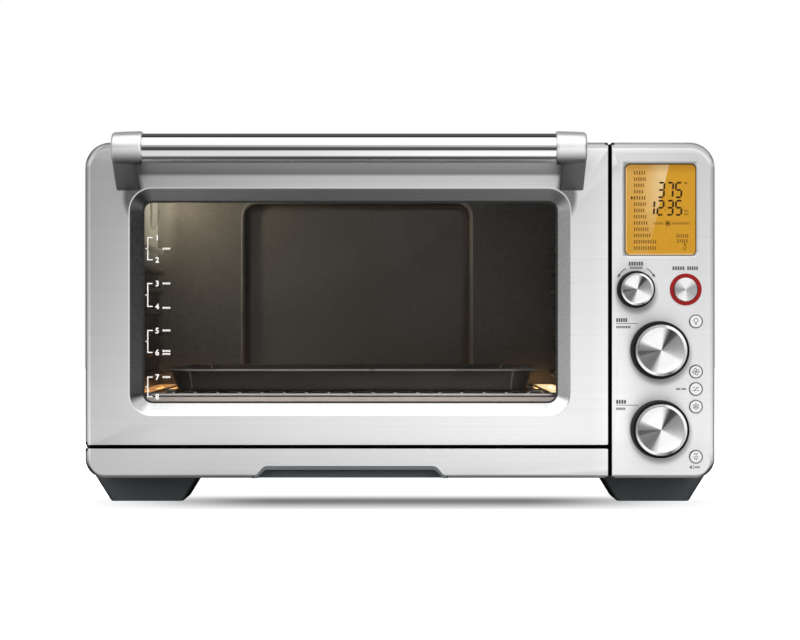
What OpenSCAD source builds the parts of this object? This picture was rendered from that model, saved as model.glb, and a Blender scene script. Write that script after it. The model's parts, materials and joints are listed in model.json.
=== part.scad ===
// Countertop air fryer oven with a drop-down glass door, a crumb drawer and a panel of dials and buttons.
// Millimetres. +X is to the right seen from the front, +Y runs to the rear and +Z is up.
// The origin is on the table, under the middle of the oven's box.

/* [Casing] */
// Overall width of the casing
body_w = 546; // [500:1:620]
// Height of the casing above its feet
body_h = 291; // [285:1:340]
// Room from the cavity's back wall to the rear panel's outer face
rear_room = 17.8; // [16:0.1:60]
// Radius of the casing's top corners, seen from the front
top_corner_r = 22; // [12:1:26]
// Radius of the casing's bottom corners, seen from the front
bottom_corner_r = 17; // [10:1:20]
// Radius of the soft outer edges of the front panels
edge_r = 6; // [4:0.5:8]
// Thickness of the casing's sheet steel
sheet_t = 1.2; // [1:0.1:1.6]
// Depth of the band that the door, drawer front and control panel fill
front_d = 30; // [29:0.5:34]
// Width of the dark seams between the front panels
seam = 2.6; // [2.2:0.1:4]
// How much further than the cavity's recess the rear panel bulges out
bulge_past = 2; // [0:0.5:10]
// Height of one casing vent slot
vent_h = 34; // [20:1:50]
// Width of one vent slot
vent_w = 3; // [2:0.5:4]
// Distance from one vent slot to the next
vent_pitch = 9; // [7:0.5:12]

/* [Feet] */
// Height of the feet
foot_h = 22.4; // [16:0.2:30]
// Width of a foot where it meets the casing
foot_w = 91; // [60:1:110]
// Depth of a foot where it meets the casing
foot_d = 78; // [40:1:84]
// How much a foot narrows on each side on its way down
foot_taper = 12.5; // [4:0.5:14]
// Distance from the casing's side to a foot
foot_inset = 8; // [8:0.5:30]
// Distance from the front band to the front feet, and from the rear panel to the rear feet
foot_setback = 4; // [2:1:40]
// Thickness of the rubber pad under a foot
pad_t = 2; // [1:0.5:3]

/* [Door] */
// Thickness of the door
door_t = 28; // [26:0.5:28.5]
// Distance from the cavity's side to the window inside its sloped frame
window_side = 19.5; // [15:0.5:34]
// Height of the window inside its sloped frame
window_h = 176; // [150:1:182]
// Corner radius of the window
window_r = 9; // [5:1:14]
// Distance from the door's lower edge to the window
window_rise = 36; // [32:1:44]
// Width of the sloped frame around the window
bevel_w = 10; // [6:0.5:12]
// Depth of the sloped frame around the window
bevel_d = 9; // [6:0.5:10]
// Thickness of the window glass
glass_t = 4; // [3:0.5:5]
// How far the glass reaches past the window on each side
glass_lap = 7; // [5:0.5:9]
// How far the seal's dark lip shows inside the window
seal_lip = 1.7; // [1:0.1:3]
// Thickness of the seal in front of the glass
seal_t = 0.8; // [0.5:0.1:1.5]
// Distance of the hinge axis from the door's face and from its lower edge
hinge_in = 5.5; // [5.3:0.1:6]
// Radius of the hinge pins
pin_r = 2; // [1.5:0.1:2.2]
// Thickness of a hinge arm
arm_t = 3; // [2:0.5:4]

/* [Handle] */
// How far the handle stands out from the door's face
handle_reach = 45; // [40:1:50]
// Radius of the handle tube
tube_r = 12.5; // [9:0.5:13]
// Wall of the handle tube
tube_wall = 1.5; // [1:0.25:3]
// Distance from the door's side to the handle's end bracket
handle_side = 20.7; // [14:0.1:44]
// Width of an end bracket at the tube
bracket_w = 27; // [22:0.5:32]
// Height from the door's top edge down to the tube's axis
tube_drop = 7.4; // [2:0.2:20]
// Height of a bracket's foot on the door
bracket_foot = 29; // [22:1:34]

/* [Drawer] */
// Height of the drawer front below the door
drawer_h = 26; // [22:1:34]
// How much narrower than the cavity the crumb tray is on each side
tray_side = 20; // [10:1:40]
// How much shorter than the cavity the crumb tray is
tray_short = 28; // [18:1:60]
// Depth of the crumb tray's bowl
tray_deep = 14; // [10:1:14]
// Width of the grip at its lower edge
grip_w = 172; // [120:1:220]
// Height of the grip
grip_h = 10.6; // [8:0.2:13]

/* [Cavity] */
// Room from the cavity's side to the edge of the door
wall_room = 23.7; // [20:0.1:28]
// Height of the cooking cavity
cav_h = 236; // [232:1:242]
// Depth of the cooking cavity without its rear recess
cav_d = 328; // [320:1:330]
// Height of the cavity floor above the casing's underside
floor_rise = 38; // [36:1:42]
// Thickness of the cavity's liner sheets
liner_t = 1; // [0.8:0.1:1.4]
// Width of the recess in the cavity's back wall
recess_w = 226; // [200:1:260]
// Height of the recess in the cavity's back wall
recess_h = 190; // [160:1:192]
// Depth of the recess in the cavity's back wall
recess_d = 20; // [12:1:24]
// Number of rack positions
levels = 8; // [4:1:8]
// Room from the top rack position to the top of the cavity
rack_head = 65.8; // [60:0.2:76]
// Height of the lowest rack position above the cavity floor
rack_rise = 30; // [30:1:36]
// How far the rack ribs stand out from the side walls
rib_out = 8; // [7:0.5:10]
// Radius of the quartz heating tubes
quartz_r = 5.5; // [4:0.5:6.5]

/* [Rack and pan] */
// Radius of the rack's frame rod
rod_r = 2.5; // [2:0.1:3]
// Radius of the rack's cross wires
wire_r = 1.5; // [1:0.1:1.8]
// Distance from one cross wire to the next
wire_pitch = 19.6; // [15:0.2:30]
// Distance from the cavity's side to the roasting pan's rim
pan_side = 31; // [17:0.5:50]
// Half of the depth that the roasting pan leaves free in the cavity
pan_end = 29; // [26:0.5:54]
// Height of the roasting pan
pan_h = 20; // [20:1:40]
// Thickness of the roasting pan's sheet
pan_t = 1.4; // [1:0.1:2]

/* [Controls] */
// Width of the control panel
panel_w = 90; // [86:1:100]
// Wall of the control panel's moulding
panel_wall = 2.5; // [2:0.1:3.5]
// Radius of the two large dials
dial_r = 24.3; // [18:0.1:25]
// Radius of the small select dial
select_r = 15.3; // [12:0.1:16]
// How far the dials stand out
dial_h = 19; // [12:0.5:26]
// Radius of the dial shafts
shaft_r = 3; // [2.5:0.1:3.5]
// Radius of the start button
start_r = 10.2; // [8:0.1:11]
// Width of the lit ring around the start button
start_ring_w = 3.6; // [2:0.1:4]
// Radius of the small buttons
button_r = 6; // [4:0.1:6.4]
// How far the small buttons stand proud
button_proud = 0.8; // [0.3:0.1:2]
// How far a button travels
button_travel = 1.2; // [0.5:0.1:1.6]
// Width of the display window
display_w = 61.6; // [50:0.2:70]
// Height of the display window
display_h = 78.4; // [60:0.2:84]

/* [Fan] */
// Radius of the convection fan
fan_r = 56; // [40:1:57]
// Depth of the pocket that the fan turns in
pocket_d = 34; // [30:1:36]
// Radius of the fan shaft
fan_shaft_r = 3; // [2:0.5:4]

/* [Hidden] */
$fn = 64;
// Steps of a loft's corner arcs and of its rounded front edges
arc_steps = 8;
edge_steps = 6;
// Gap of a running shaft, of a fixed fit, of a sliding piece and of a piece that comes to rest on another
run_gap = 0.05;
fit_gap = 0.1;
slide_gap = 0.4;
rest_gap = 0.3;
// A cut runs this far past the face it cuts
past = 1;

left_x = -body_w / 2;
right_x = body_w / 2;
base_z = foot_h;
top_z = foot_h + body_h;
body_d = front_d + sheet_t + cav_d + rear_room;
bulge_d = recess_d + bulge_past;
total_d = handle_reach + body_d + bulge_d;
front_y = handle_reach - total_d / 2;
rear_y = front_y + body_d;
frame_y = front_y + front_d;
inner_y = frame_y + sheet_t;
rear_in_y = rear_y - sheet_t;

panel_x0 = right_x - panel_w;
door_x0 = left_x;
door_x1 = panel_x0 - seam;
drawer_top = base_z + drawer_h;
door_z0 = drawer_top + seam;
door_cx = (door_x0 + edge_r + door_x1) / 2;
door_flat_w = door_x1 - door_x0 - edge_r;
cav_w = door_flat_w - 2 * wall_room;
window_w = cav_w - 2 * window_side;
handle_l = door_flat_w - 2 * handle_side;
tray_w = cav_w - 2 * tray_side;
tray_d = cav_d - tray_short;
pan_w = cav_w - 2 * pan_side;
pan_d = cav_d - 2 * pan_end;
// A straight cut edge of a front panel, beside a seam, has this small radius
seam_edge = 1.2;
// The casing's lower front edges are a little tighter than the others
under_edge = edge_r * 2 / 3;

window_z0 = door_z0 + window_rise;
window_cz = window_z0 + window_h / 2;
glass_y = front_y + bevel_d + sheet_t + seal_t;
door_back_y = front_y + door_t;
skin_back_y = door_back_y - sheet_t;

cav_x0 = door_cx - cav_w / 2;
cav_x1 = door_cx + cav_w / 2;
cav_z0 = base_z + floor_rise;
cav_z1 = cav_z0 + cav_h;
cav_y0 = inner_y;
cav_y1 = inner_y + cav_d;
cav_cy = (cav_y0 + cav_y1) / 2;
recess_r = 13;
recess_head = 20;
recess_z0 = cav_z1 - recess_head - recess_h;
// The rear bulge wraps the cavity's recess with this air gap
bulge_gap = 11;

hinge_y = front_y + hinge_in;
hinge_z = door_z0 + hinge_in;
// The hinge arms stand midway between the cavity's liner and the casing on the left, and mirrored on
// the right
hinge_x = [(left_x + cav_x0) / 2, door_x1 - (cav_x0 - left_x) / 2];
hinge_side = [-1, 1];
arm_r = hinge_in - sheet_t - rest_gap;
lug_t = 2;
// Distance from a hinge arm's middle to its outer and inner lugs
lug_out = arm_t / 2 + 1;
spring_l = 9;
lug_in = arm_t / 2 + spring_l + 1;
lug_up = 16;

tube_y = front_y - handle_reach + bracket_w / 2 + 1;
cap_r = tube_y - (front_y - handle_reach);
tube_z = top_z - tube_drop;
handle_x0 = door_cx - handle_l / 2;
handle_x1 = door_cx + handle_l / 2;
socket_d = bracket_w - 6;
// A bracket's arm is narrower than its cap by these amounts on its inner and outer sides
arm_step = 5.3;
arm_taper = 1.2;
// Height of a bracket's lower screw above its foot, and distance up to the next
bracket_screw_z = 12;
bracket_screw_pitch = 12;
bracket_screw_r = 2;
bracket_screw_deep = 12;

tray_x0 = door_cx - tray_w / 2;
tray_y0 = skin_back_y;
tray_z0 = base_z + sheet_t + 6;
tray_t = 1;
runner_w = 14;
runner_in = 20;
// The left runner stands this far inside the left feet
runner_gap = 4;
grip_slope = 11;
grip_cut = 2.5;

level_pitch = (cav_h - rack_rise - rack_head) / (levels - 1);
level_z = [for (i = [1 : levels]) cav_z0 + rack_rise + (levels - i) * level_pitch];
rack_z = cav_z0 + rack_rise;
rib_h = 6;
rack_side = 3;
rack_front = 12;
rack_back = 24;
rack_x0 = cav_x0 + rack_side + rod_r;
rack_x1 = cav_x1 - rack_side - rod_r;
rack_y0 = cav_y0 + rack_front + rod_r;
rack_y1 = cav_y1 - rack_back - rod_r;
rack_corner = 10;
rack_rod_z = rack_z + rod_r;
rack_drop = 7;
wire_z = rack_rod_z + rod_r - wire_r * 0.8;
wire_n = floor((rack_x1 - rack_x0 - 2 * rack_corner) / wire_pitch);
pan_z0 = wire_z + wire_r + rest_gap;
pan_cy = (rack_y0 + rack_y1) / 2;
pan_flange = 6;
pan_draft = 6;
pan_r = 28;

upper_n = 4;
// The upper tubes hang close under the cavity's top and share the front part of its depth
upper_quartz_drop = 11;
upper_quartz_share = 0.73;
upper_quartz_z = cav_z1 - upper_quartz_drop;
// The front lower tube lies near the floor and the rear one behind the rack
lower_front_share = 0.26;
lower_front_rise = 14;
lower_rear_in = 12.5;
lower_rear_rise = 28;
end_cap_l = 16;
end_cap_r = quartz_r + 3.5;
guard_drop = 2.5;
guard_z = upper_quartz_z - quartz_r - guard_drop;
guard_r = 1.5;
guard_front = 14;
guard_back = 75;

fan_y = cav_cy;
fan_z = cav_z0 + cav_h * 0.48;
shield_x = cav_x1 + liner_t + pocket_d;
motor_x = shield_x + sheet_t;
motor_l = 36;
motor_r = 27;
cooling_x = motor_x + motor_l + 4;
cooling_l = 12;
cooling_r = 38;
grille_r = fan_r + 8;
pocket_r = fan_r + 9;

// Distance from the panel's left edge to the large dials and to the display, and from the dials to the
// other controls
dial_in = 41.3;
display_in = 42.8;
select_left = 20.6;
start_right = 22.9;
button_right = 31.7;
// How far below the casing's top each control sits
display_drop = 59;
select_drop = 127.6;
temp_drop = 180.1;
time_drop = 248.4;
// The small buttons are light, fan, phase, frozen and units
button_drop = [155.2, 198.7, 213.7, 228.9, 272.3];
dial_x = panel_x0 + dial_in;
display_x = panel_x0 + display_in;
select_x = dial_x - select_left;
start_x = dial_x + start_right;
button_x = dial_x + button_right;
display_z = top_z - display_drop;
select_z = top_z - select_drop;
temp_z = top_z - temp_drop;
time_z = top_z - time_drop;
button_z = [for (drop = button_drop) top_z - drop];
board_y = front_y + 22;
board_t = 1.6;
encoder_l = 7;
encoder_w = 12;
bush_r = shaft_r + 2;
bush_l = 9;
switch_l = 3.5;
select_travel = 1;
dial_gap = 0.8;
select_gap = dial_gap + select_travel;
display_recess = 0.8;
flange_t = 1.5;

// Outlines

// A quarter arc of points about a corner's centre
function corner(cx, cy, r, from) =
    [for (i = [0 : arc_steps]) let (a = from + 90 * i / arc_steps) [cx + r * cos(a), cy + r * sin(a)]];

// A rectangle whose corners have the radii r, from lower left round to upper left
function outline(x0, y0, x1, y1, r) = concat(
    corner(x0 + r[0], y0 + r[0], r[0], 180), corner(x1 - r[1], y0 + r[1], r[1], 270),
    corner(x1 - r[2], y1 - r[2], r[2], 0), corner(x0 + r[3], y1 - r[3], r[3], 90));

// How far a quarter-round edge of radius e draws in at depth d behind the face
function draw_in(e, d) = d >= e ? 0 : e - sqrt(e * e - (e - d) * (e - d));

function in_xz(points, y) = [for (p = points) [p[0], y, p[1]]];
function in_xy(points, z) = [for (p = points) [p[0], p[1], z]];

// One section of a front panel at depth d: edges are left, lower, right and upper
function panel_section(box, corners, edges, d) =
    let (i = [for (e = edges) draw_in(e, d)])
    let (r = [for (k = [0 : 3]) max(0.3, corners[k] - max(i[k], i[(k + 3) % 4]))])
    outline(box[0] + i[0], box[1] + i[1], box[2] - i[2], box[3] - i[3], r);

// A solid through sections that run towards the viewer who sees them anticlockwise
module loft(sections) {
    n = len(sections[0]);
    last = len(sections) - 1;
    points = [for (s = sections) each s];
    sides = [for (k = [0 : last - 1]) for (i = [0 : n - 1])
        let (a = k * n + i, b = k * n + (i + 1) % n) each [[a, a + n, b + n], [a, b + n, b]]];
    polyhedron(points, concat([[for (i = [0 : n - 1]) i]],
        sides, [[for (i = [n - 1 : -1 : 0]) last * n + i]]));
}

// A panel with rounded front edges, from depth to the plane y
module panel(box, corners, edges, y, depth) {
    stations = [for (k = [edge_steps : -1 : 0]) edge_r * (1 - cos(90 * k / edge_steps))];
    loft(concat([in_xz(panel_section(box, corners, edges, depth), y + depth)],
        [for (d = stations) in_xz(panel_section(box, corners, edges, d), y + d)]));
}

// The same panel as a shell of wall t, open at the rear
module panel_shell(box, corners, edges, y, depth, t) {
    difference() {
        panel(box, corners, edges, y, depth);
        panel([box[0] + t, box[1] + t, box[2] - t, box[3] - t], [for (r = corners) max(0.5, r - t)],
            [for (e = edges) max(0.3, e - t)], y + t, depth - t + past);
    }
}

// A rounded rectangle about a centre
module rounded(cx, cy, w, h, r) {
    translate([cx - w / 2, cy - h / 2 + r]) square([w, h - 2 * r]);
    translate([cx - w / 2 + r, cy - h / 2]) square([w - 2 * r, h]);
    for (sx = [-1, 1]) for (sy = [-1, 1]) translate([cx + sx * (w / 2 - r), cy + sy * (h / 2 - r)])
        circle(r);
}

// The casing's front outline, drawn in by k
module body_outline(k = 0) {
    rt = top_corner_r - k;
    rb = bottom_corner_r - k;
    w = body_w - 2 * k;
    translate([left_x + k, base_z + k + rb]) square([w, body_h - 2 * k - rt - rb]);
    translate([left_x + k + rb, base_z + k]) square([w - 2 * rb, body_h / 2]);
    translate([left_x + k + rt, top_z - k - body_h / 2]) square([w - 2 * rt, body_h / 2]);
    for (s = [-1, 1]) {
        translate([s * (body_w / 2 - k - rb), base_z + k + rb]) circle(rb);
        translate([s * (body_w / 2 - k - rt), top_z - k - rt]) circle(rt);
    }
}

// Extrusions along the three axes, from one plane to another
module along_y(y0, y1) { translate([0, y1, 0]) rotate([90, 0, 0]) linear_extrude(y1 - y0) children(); }
module along_x(x0, x1) { translate([x0, 0, 0]) rotate([90, 0, 90]) linear_extrude(x1 - x0) children(); }
module along_z(z0, z1) { translate([0, 0, z0]) linear_extrude(z1 - z0) children(); }
module block(x0, y0, z0, x1, y1, z1) { translate([x0, y0, z0]) cube([x1 - x0, y1 - y0, z1 - z0]); }

// Round rods along the three axes
module rod_x(x0, x1, y, z, r) { translate([x0, y, z]) rotate([0, 90, 0]) cylinder(h = x1 - x0, r = r); }
module rod_y(x, y0, y1, z, r) { translate([x, y0, z]) rotate([-90, 0, 0]) cylinder(h = y1 - y0, r = r); }
module rod_z(x, y, z0, z1, r) { translate([x, y, z0]) cylinder(h = z1 - z0, r = r); }

// Children stand on the control panel's face, with local +Z towards the user
module on_panel(x, z) { translate([x, front_y, z]) rotate([90, 0, 0]) children(); }

// Upright slots in a row, seen along the axis that they cut
module vent_row(cx, cz, n, h) {
    for (i = [0 : n - 1]) rounded(cx + (i - (n - 1) / 2) * vent_pitch, cz, vent_w, h, vent_w / 2 - 0.01);
}

// Casing

module side_vents() {
    cy = rear_y - body_d * 0.27;
    for (z = [base_z + body_h * 0.3, base_z + body_h * 0.7]) vent_row(cy, z, 14, vent_h);
}

module outer_wrap() {
    color("silver") difference() {
        along_y(inner_y, rear_in_y) difference() {
            body_outline();
            body_outline(sheet_t);
            translate([left_x + bottom_corner_r, base_z - past])
                square([body_w - 2 * bottom_corner_r, sheet_t + 2 * past]);
        }
        along_x(left_x - past, left_x + sheet_t + past) side_vents();
        along_x(right_x - sheet_t - past, right_x + past) side_vents();
    }
}

bulge_w = recess_w + 2 * bulge_gap;
bulge_h = recess_h + 2 * bulge_gap - 8;
bulge_cz = recess_z0 + recess_h / 2 - 2;
gland_x = right_x - 40;
gland_z = base_z + 36;
gland_r = 7.9;
screw_r = 1.7;
screw_head_r = 3.6;
screw_head_t = 2.2;
screw_l = 8;
screw_edge = 9;
rear_screw_at = [for (x = [left_x + 30, -body_w / 6, body_w / 6, right_x - 30])
    for (z = [base_z + screw_edge, top_z - screw_edge]) [x, z]];

module rear_panel() {
    bay_x = (shield_x + right_x) / 2;
    color("lightgray") {
        difference() {
            along_y(rear_in_y, rear_y) body_outline();
            along_y(rear_in_y - past, rear_y + past)
                rounded(door_cx, bulge_cz, bulge_w - 2 * sheet_t, bulge_h - 2 * sheet_t, recess_r);
            along_y(rear_in_y - past, rear_y + past) vent_row(bay_x, top_z - 80, 6, vent_h * 1.5);
            along_y(rear_in_y - past, rear_y + past) vent_row(bay_x, top_z - 150, 6, vent_h * 1.5);
            rod_y(gland_x, rear_in_y - past, rear_y + past, gland_z, gland_r + fit_gap);
            for (p = rear_screw_at) rod_y(p[0], rear_in_y - past, rear_y + past, p[1], screw_r + fit_gap);
        }
        difference() {
            along_y(rear_in_y, rear_y + bulge_d) rounded(door_cx, bulge_cz, bulge_w, bulge_h,
                recess_r + sheet_t);
            along_y(rear_in_y - past, rear_y + bulge_d - sheet_t)
                rounded(door_cx, bulge_cz, bulge_w - 2 * sheet_t, bulge_h - 2 * sheet_t, recess_r);
        }
    }
}

foot_x = body_w / 2 - foot_inset - foot_w / 2;
foot_y = [inner_y + foot_setback + foot_d / 2, rear_in_y - foot_setback - foot_d / 2];

// The foot screws stand just outside the guides along the crumb tray's sides
guide_x = tray_x0 - slide_gap - sheet_t;
screw_air = 2;
foot_screw_x = screw_head_r + screw_air - guide_x;

module at_feet() { for (x = [-foot_x, foot_x]) for (y = foot_y) translate([x, y, 0]) children(); }
module at_foot_screws() {
    for (x = [-foot_screw_x, foot_screw_x]) for (y = foot_y) translate([x, y, 0]) children();
}

module base_pan() {
    x0 = left_x + bottom_corner_r;
    runner_y1 = tray_y0 + tray_d;
    color("dimgray") {
        difference() {
            block(x0, inner_y, base_z, -x0, rear_in_y, base_z + sheet_t);
            at_foot_screws() rod_z(0, 0, base_z - past, base_z + sheet_t + past, screw_r + fit_gap);
            for (s = [-1, 1]) along_z(base_z - past, base_z + sheet_t + past)
                vent_row(s * body_w / 5, (inner_y + rear_in_y) / 2, 10, vent_h * 1.5);
        }
        for (x = [left_x + foot_inset + foot_w + runner_gap, tray_x0 + tray_w - runner_in - runner_w])
            block(x, inner_y, base_z + sheet_t, x + runner_w, runner_y1, tray_z0 - rest_gap);
        for (x = [guide_x, tray_x0 + tray_w + slide_gap])
            block(x, inner_y, base_z + sheet_t, x + sheet_t, runner_y1, tray_z0 + tray_deep / 2);
    }
}

module front_frame() {
    color("gainsboro") difference() {
        along_y(frame_y, inner_y) body_outline();
        along_y(frame_y - past, inner_y + past) {
            rounded(door_cx, (cav_z0 + cav_z1) / 2, cav_w, cav_h, 6);
            translate([tray_x0 - 2, tray_z0 - 2]) square([tray_w + 4, tray_deep + 4]);
            rounded((panel_x0 + right_x) / 2, (base_z + top_z) / 2, panel_w - 40, body_h - 110, 6);
        }
        for (x = hinge_x) block(x - arm_t / 2 - slide_gap, frame_y - past, hinge_z - arm_r - slide_gap,
            x + arm_t / 2 + slide_gap, inner_y + past, hinge_z + arm_r + slide_gap);
    }
}

foot_corner = 4;
// A foot's outline at height z, narrowed by k on every side
function foot_ring(z, k) = let (w = foot_w / 2 - k, d = foot_d / 2 - k)
    in_xy(outline(-w, -d, w, d, [for (i = [1 : 4]) foot_corner]), z);

module feet() {
    color("darkslategray") difference() {
        at_feet() loft([foot_ring(pad_t, foot_taper), foot_ring(foot_h, 0)]);
        at_foot_screws() rod_z(0, 0, foot_h - screw_l, foot_h + past, screw_r + fit_gap);
    }
}

module foot_pads() {
    color("black") at_feet() along_z(0, pad_t)
        rounded(0, 0, foot_w - 2 * foot_taper - 4, foot_d - 2 * foot_taper - 4, 4);
}

// A pan-head screw with its head above z = 0
module screw(r, head_r, head_t, l) {
    cylinder(h = head_t, r = head_r);
    translate([0, 0, -l]) cylinder(h = l, r = r);
}

module casing_screws() {
    color("silver") {
        for (p = rear_screw_at) translate([p[0], rear_y, p[1]]) rotate([-90, 0, 0])
            screw(screw_r, screw_head_r, screw_head_t, screw_l);
        at_foot_screws() translate([0, 0, base_z + sheet_t]) screw(screw_r, screw_head_r, screw_head_t,
            screw_l - 1);
    }
}

module cord_gland() {
    color("black") difference() {
        union() {
            rod_y(gland_x, rear_y - 8, rear_y + past, gland_z, gland_r);
            rod_y(gland_x, rear_y, rear_y + 3, gland_z, gland_r + 4);
            rod_y(gland_x, rear_y, rear_y + 12, gland_z, gland_r - 1.4);
        }
        rod_y(gland_x, rear_y - 9, rear_y + 13, gland_z, 4);
    }
}

// Cavity

module wall_holes(x0, x1) {
    for (p = quartz_at) rod_x(x0, x1, p[0], p[1], quartz_r + fit_gap);
}

// A rib that carries the rack on a side wall, from the wall's face at x towards s
module rib(x, s, z, y0, y1) {
    nose = rib_h / 2;
    along_y(y0, y1) translate([x, z - rest_gap - nose]) {
        translate([s > 0 ? -liner_t / 2 : nose - rib_out, -nose]) square([rib_out - nose + liner_t / 2,
            rib_h]);
        translate([s * (rib_out - nose), 0]) circle(nose);
    }
}

upper_quartz_y = [for (i = [0 : upper_n - 1]) cav_y0 + cav_d * upper_quartz_share * (i + 0.55) / upper_n];
// Depth and height of each tube
quartz_at = concat([for (y = upper_quartz_y) [y, upper_quartz_z]],
    [[cav_y0 + cav_d * lower_front_share, cav_z0 + lower_front_rise],
        [cav_y1 - lower_rear_in, cav_z0 + lower_rear_rise]]);
probe_y = (upper_quartz_y[1] + upper_quartz_y[2]) / 2;
probe_z = upper_quartz_z;
probe_r = 2.2;
// The lamp is high on the left wall, behind the upper tubes, and its socket fills the room beside the
// wall but for a little air
lamp_back = 70;
lamp_drop = 32;
lamp_air = 5.5;
lamp_y = cav_y1 - lamp_back;
lamp_z = cav_z1 - lamp_drop;
lamp_x = cav_x0 - liner_t;
lamp_l = lamp_x - left_x - sheet_t - lamp_air;
lamp_r = 14;
stem_r = 4;
rib_y0 = cav_y0 + 8;
rib_y1 = cav_y1 - rack_back;

module cavity_left() {
    color("gray") difference() {
        union() {
            block(cav_x0 - liner_t, cav_y0, cav_z0, cav_x0, cav_y1, cav_z1);
            for (z = level_z) rib(cav_x0, 1, z, rib_y0, rib_y1);
        }
        wall_holes(cav_x0 - liner_t - past, cav_x0 + past);
        rod_x(cav_x0 - liner_t - past, cav_x0 + past, probe_y, probe_z, probe_r + fit_gap);
        rod_x(cav_x0 - liner_t - past, cav_x0 + past, lamp_y, lamp_z, lamp_r);
    }
}

module cavity_right() {
    color("gray") difference() {
        union() {
            block(cav_x1, cav_y0, cav_z0, cav_x1 + liner_t, cav_y1, cav_z1);
            for (z = level_z) {
                rib(cav_x1, -1, z, rib_y0, fan_y - grille_r - 4);
                rib(cav_x1, -1, z, fan_y + grille_r + 4, rib_y1);
            }
        }
        wall_holes(cav_x1 - past, cav_x1 + liner_t + past);
        rod_x(cav_x1 - past, cav_x1 + liner_t + past, fan_y, fan_z, fan_r + 2);
    }
}

module cavity_top() {
    color("gray") block(cav_x0 - liner_t, cav_y0, cav_z1, cav_x1 + liner_t, cav_y1 + liner_t,
        cav_z1 + liner_t);
}

module cavity_floor() {
    margin = 34;
    color("gray") difference() {
        block(cav_x0 - liner_t, cav_y0, cav_z0 - liner_t, cav_x1 + liner_t, cav_y1 + liner_t, cav_z0);
        along_z(cav_z0 - liner_t - past, cav_z0 + past)
            rounded(door_cx, tray_y0 + tray_d / 2 + 8, cav_w - 2 * margin, tray_d - 2 * margin, 12);
    }
}

module cavity_back() {
    cz = recess_z0 + recess_h / 2;
    color("gray") {
        difference() {
            block(cav_x0 - liner_t, cav_y1, cav_z0, cav_x1 + liner_t, cav_y1 + liner_t, cav_z1);
            along_y(cav_y1 - past, cav_y1 + liner_t + past) rounded(door_cx, cz, recess_w, recess_h,
                recess_r);
        }
        difference() {
            along_y(cav_y1, cav_y1 + recess_d + liner_t)
                rounded(door_cx, cz, recess_w + 2 * liner_t, recess_h + 2 * liner_t, recess_r + liner_t);
            along_y(cav_y1 - past, cav_y1 + recess_d) rounded(door_cx, cz, recess_w, recess_h, recess_r);
        }
    }
}

module quartz_tubes() {
    x0 = cav_x0 - liner_t - end_cap_l + 4;
    x1 = cav_x1 + liner_t + end_cap_l - 4;
    color("ivory") {
        for (p = quartz_at) rod_x(x0, x1, p[0], p[1], quartz_r);
    }
}

// A ceramic cap outside a side wall, with its socket towards the cavity
module end_cap(y, z) {
    for (s = [-1, 1]) {
        x = s < 0 ? cav_x0 - liner_t - end_cap_l : cav_x1 + liner_t;
        difference() {
            rod_x(x, x + end_cap_l, y, z, end_cap_r);
            rod_x(x + (s < 0 ? 4 : -past), x + end_cap_l + (s < 0 ? past : -4), y, z, quartz_r + fit_gap);
        }
    }
}

module element_end_caps() {
    color("white") for (p = quartz_at) end_cap(p[0], p[1]);
}

module element_guard() {
    n = 5;
    y0 = cav_y0 + guard_front;
    y1 = cav_y1 - guard_back;
    xs = [for (i = [0 : n - 1]) door_cx + (i - (n - 1) / 2) * cav_w / (n + 0.5)];
    color("silver") {
        for (x = xs) {
            rod_y(x, y0, y1, guard_z, guard_r);
            for (y = [y0 + guard_r, y1 - guard_r]) rod_z(x, y, guard_z - guard_r / 2, cav_z1,
                guard_r * 0.8);
        }
        for (y = [cav_y0 + cav_d / 3, cav_y0 + cav_d * 2 / 3])
            rod_x(xs[0] - 4, xs[n - 1] + 4, y, guard_z - guard_r, guard_r * 0.9);
    }
}

module lamp_lens() {
    rim = lamp_r + 3;
    color("lightcyan") translate([cav_x0, lamp_y, lamp_z]) rotate([0, 90, 0]) rotate_extrude()
        polygon(concat([[0, 0], [rim, 0], [rim, 1.5]], [for (a = [15 : 15 : 90]) [rim * cos(a),
            1.5 + 6 * sin(a)]]));
}

module lamp_socket() {
    color("whitesmoke") difference() {
        rod_x(lamp_x - lamp_l, lamp_x, lamp_y, lamp_z, lamp_r + 2);
        rod_x(lamp_x - lamp_l + 4, lamp_x + past, lamp_y, lamp_z, lamp_r - 2);
        rod_x(lamp_x - lamp_l - past, lamp_x, lamp_y, lamp_z, stem_r + fit_gap);
    }
}

module lamp_bulb() {
    glass_r = 6;
    color("lightyellow") {
        rod_x(lamp_x - lamp_l, lamp_x - 8, lamp_y, lamp_z, stem_r);
        rod_x(lamp_x - 11, lamp_x - 3, lamp_y, lamp_z, glass_r);
        translate([lamp_x, lamp_y, lamp_z]) rotate([0, -90, 0])
            cylinder(h = 3, r1 = stem_r - 1, r2 = glass_r);
    }
}

module temperature_probe() {
    x = cav_x0 - liner_t;
    color("silver") {
        rod_x(x - 4, cav_x0 + 26, probe_y, probe_z, probe_r);
        rod_x(x - 4, x, probe_y, probe_z, probe_r + 3);
    }
}

// Fan

module fan_grille() {
    rings = 4;
    hole_r = 4;
    color("gray") difference() {
        rod_x(cav_x1 - 1, cav_x1, fan_y, fan_z, grille_r);
        rod_x(cav_x1 - 2, cav_x1 + 1, fan_y, fan_z, hole_r);
        for (k = [1 : rings]) for (i = [0 : 6 * k - 1]) let (a = 60 * i / k, r = k * 12)
            rod_x(cav_x1 - 2, cav_x1 + 1, fan_y + r * cos(a), fan_z + r * sin(a), hole_r);
    }
}

module fan_housing() {
    x = cav_x1 + liner_t;
    color("lightgray") difference() {
        rod_x(x, shield_x, fan_y, fan_z, pocket_r);
        rod_x(x - past, shield_x + past, fan_y, fan_z, pocket_r - sheet_t);
    }
}

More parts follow.
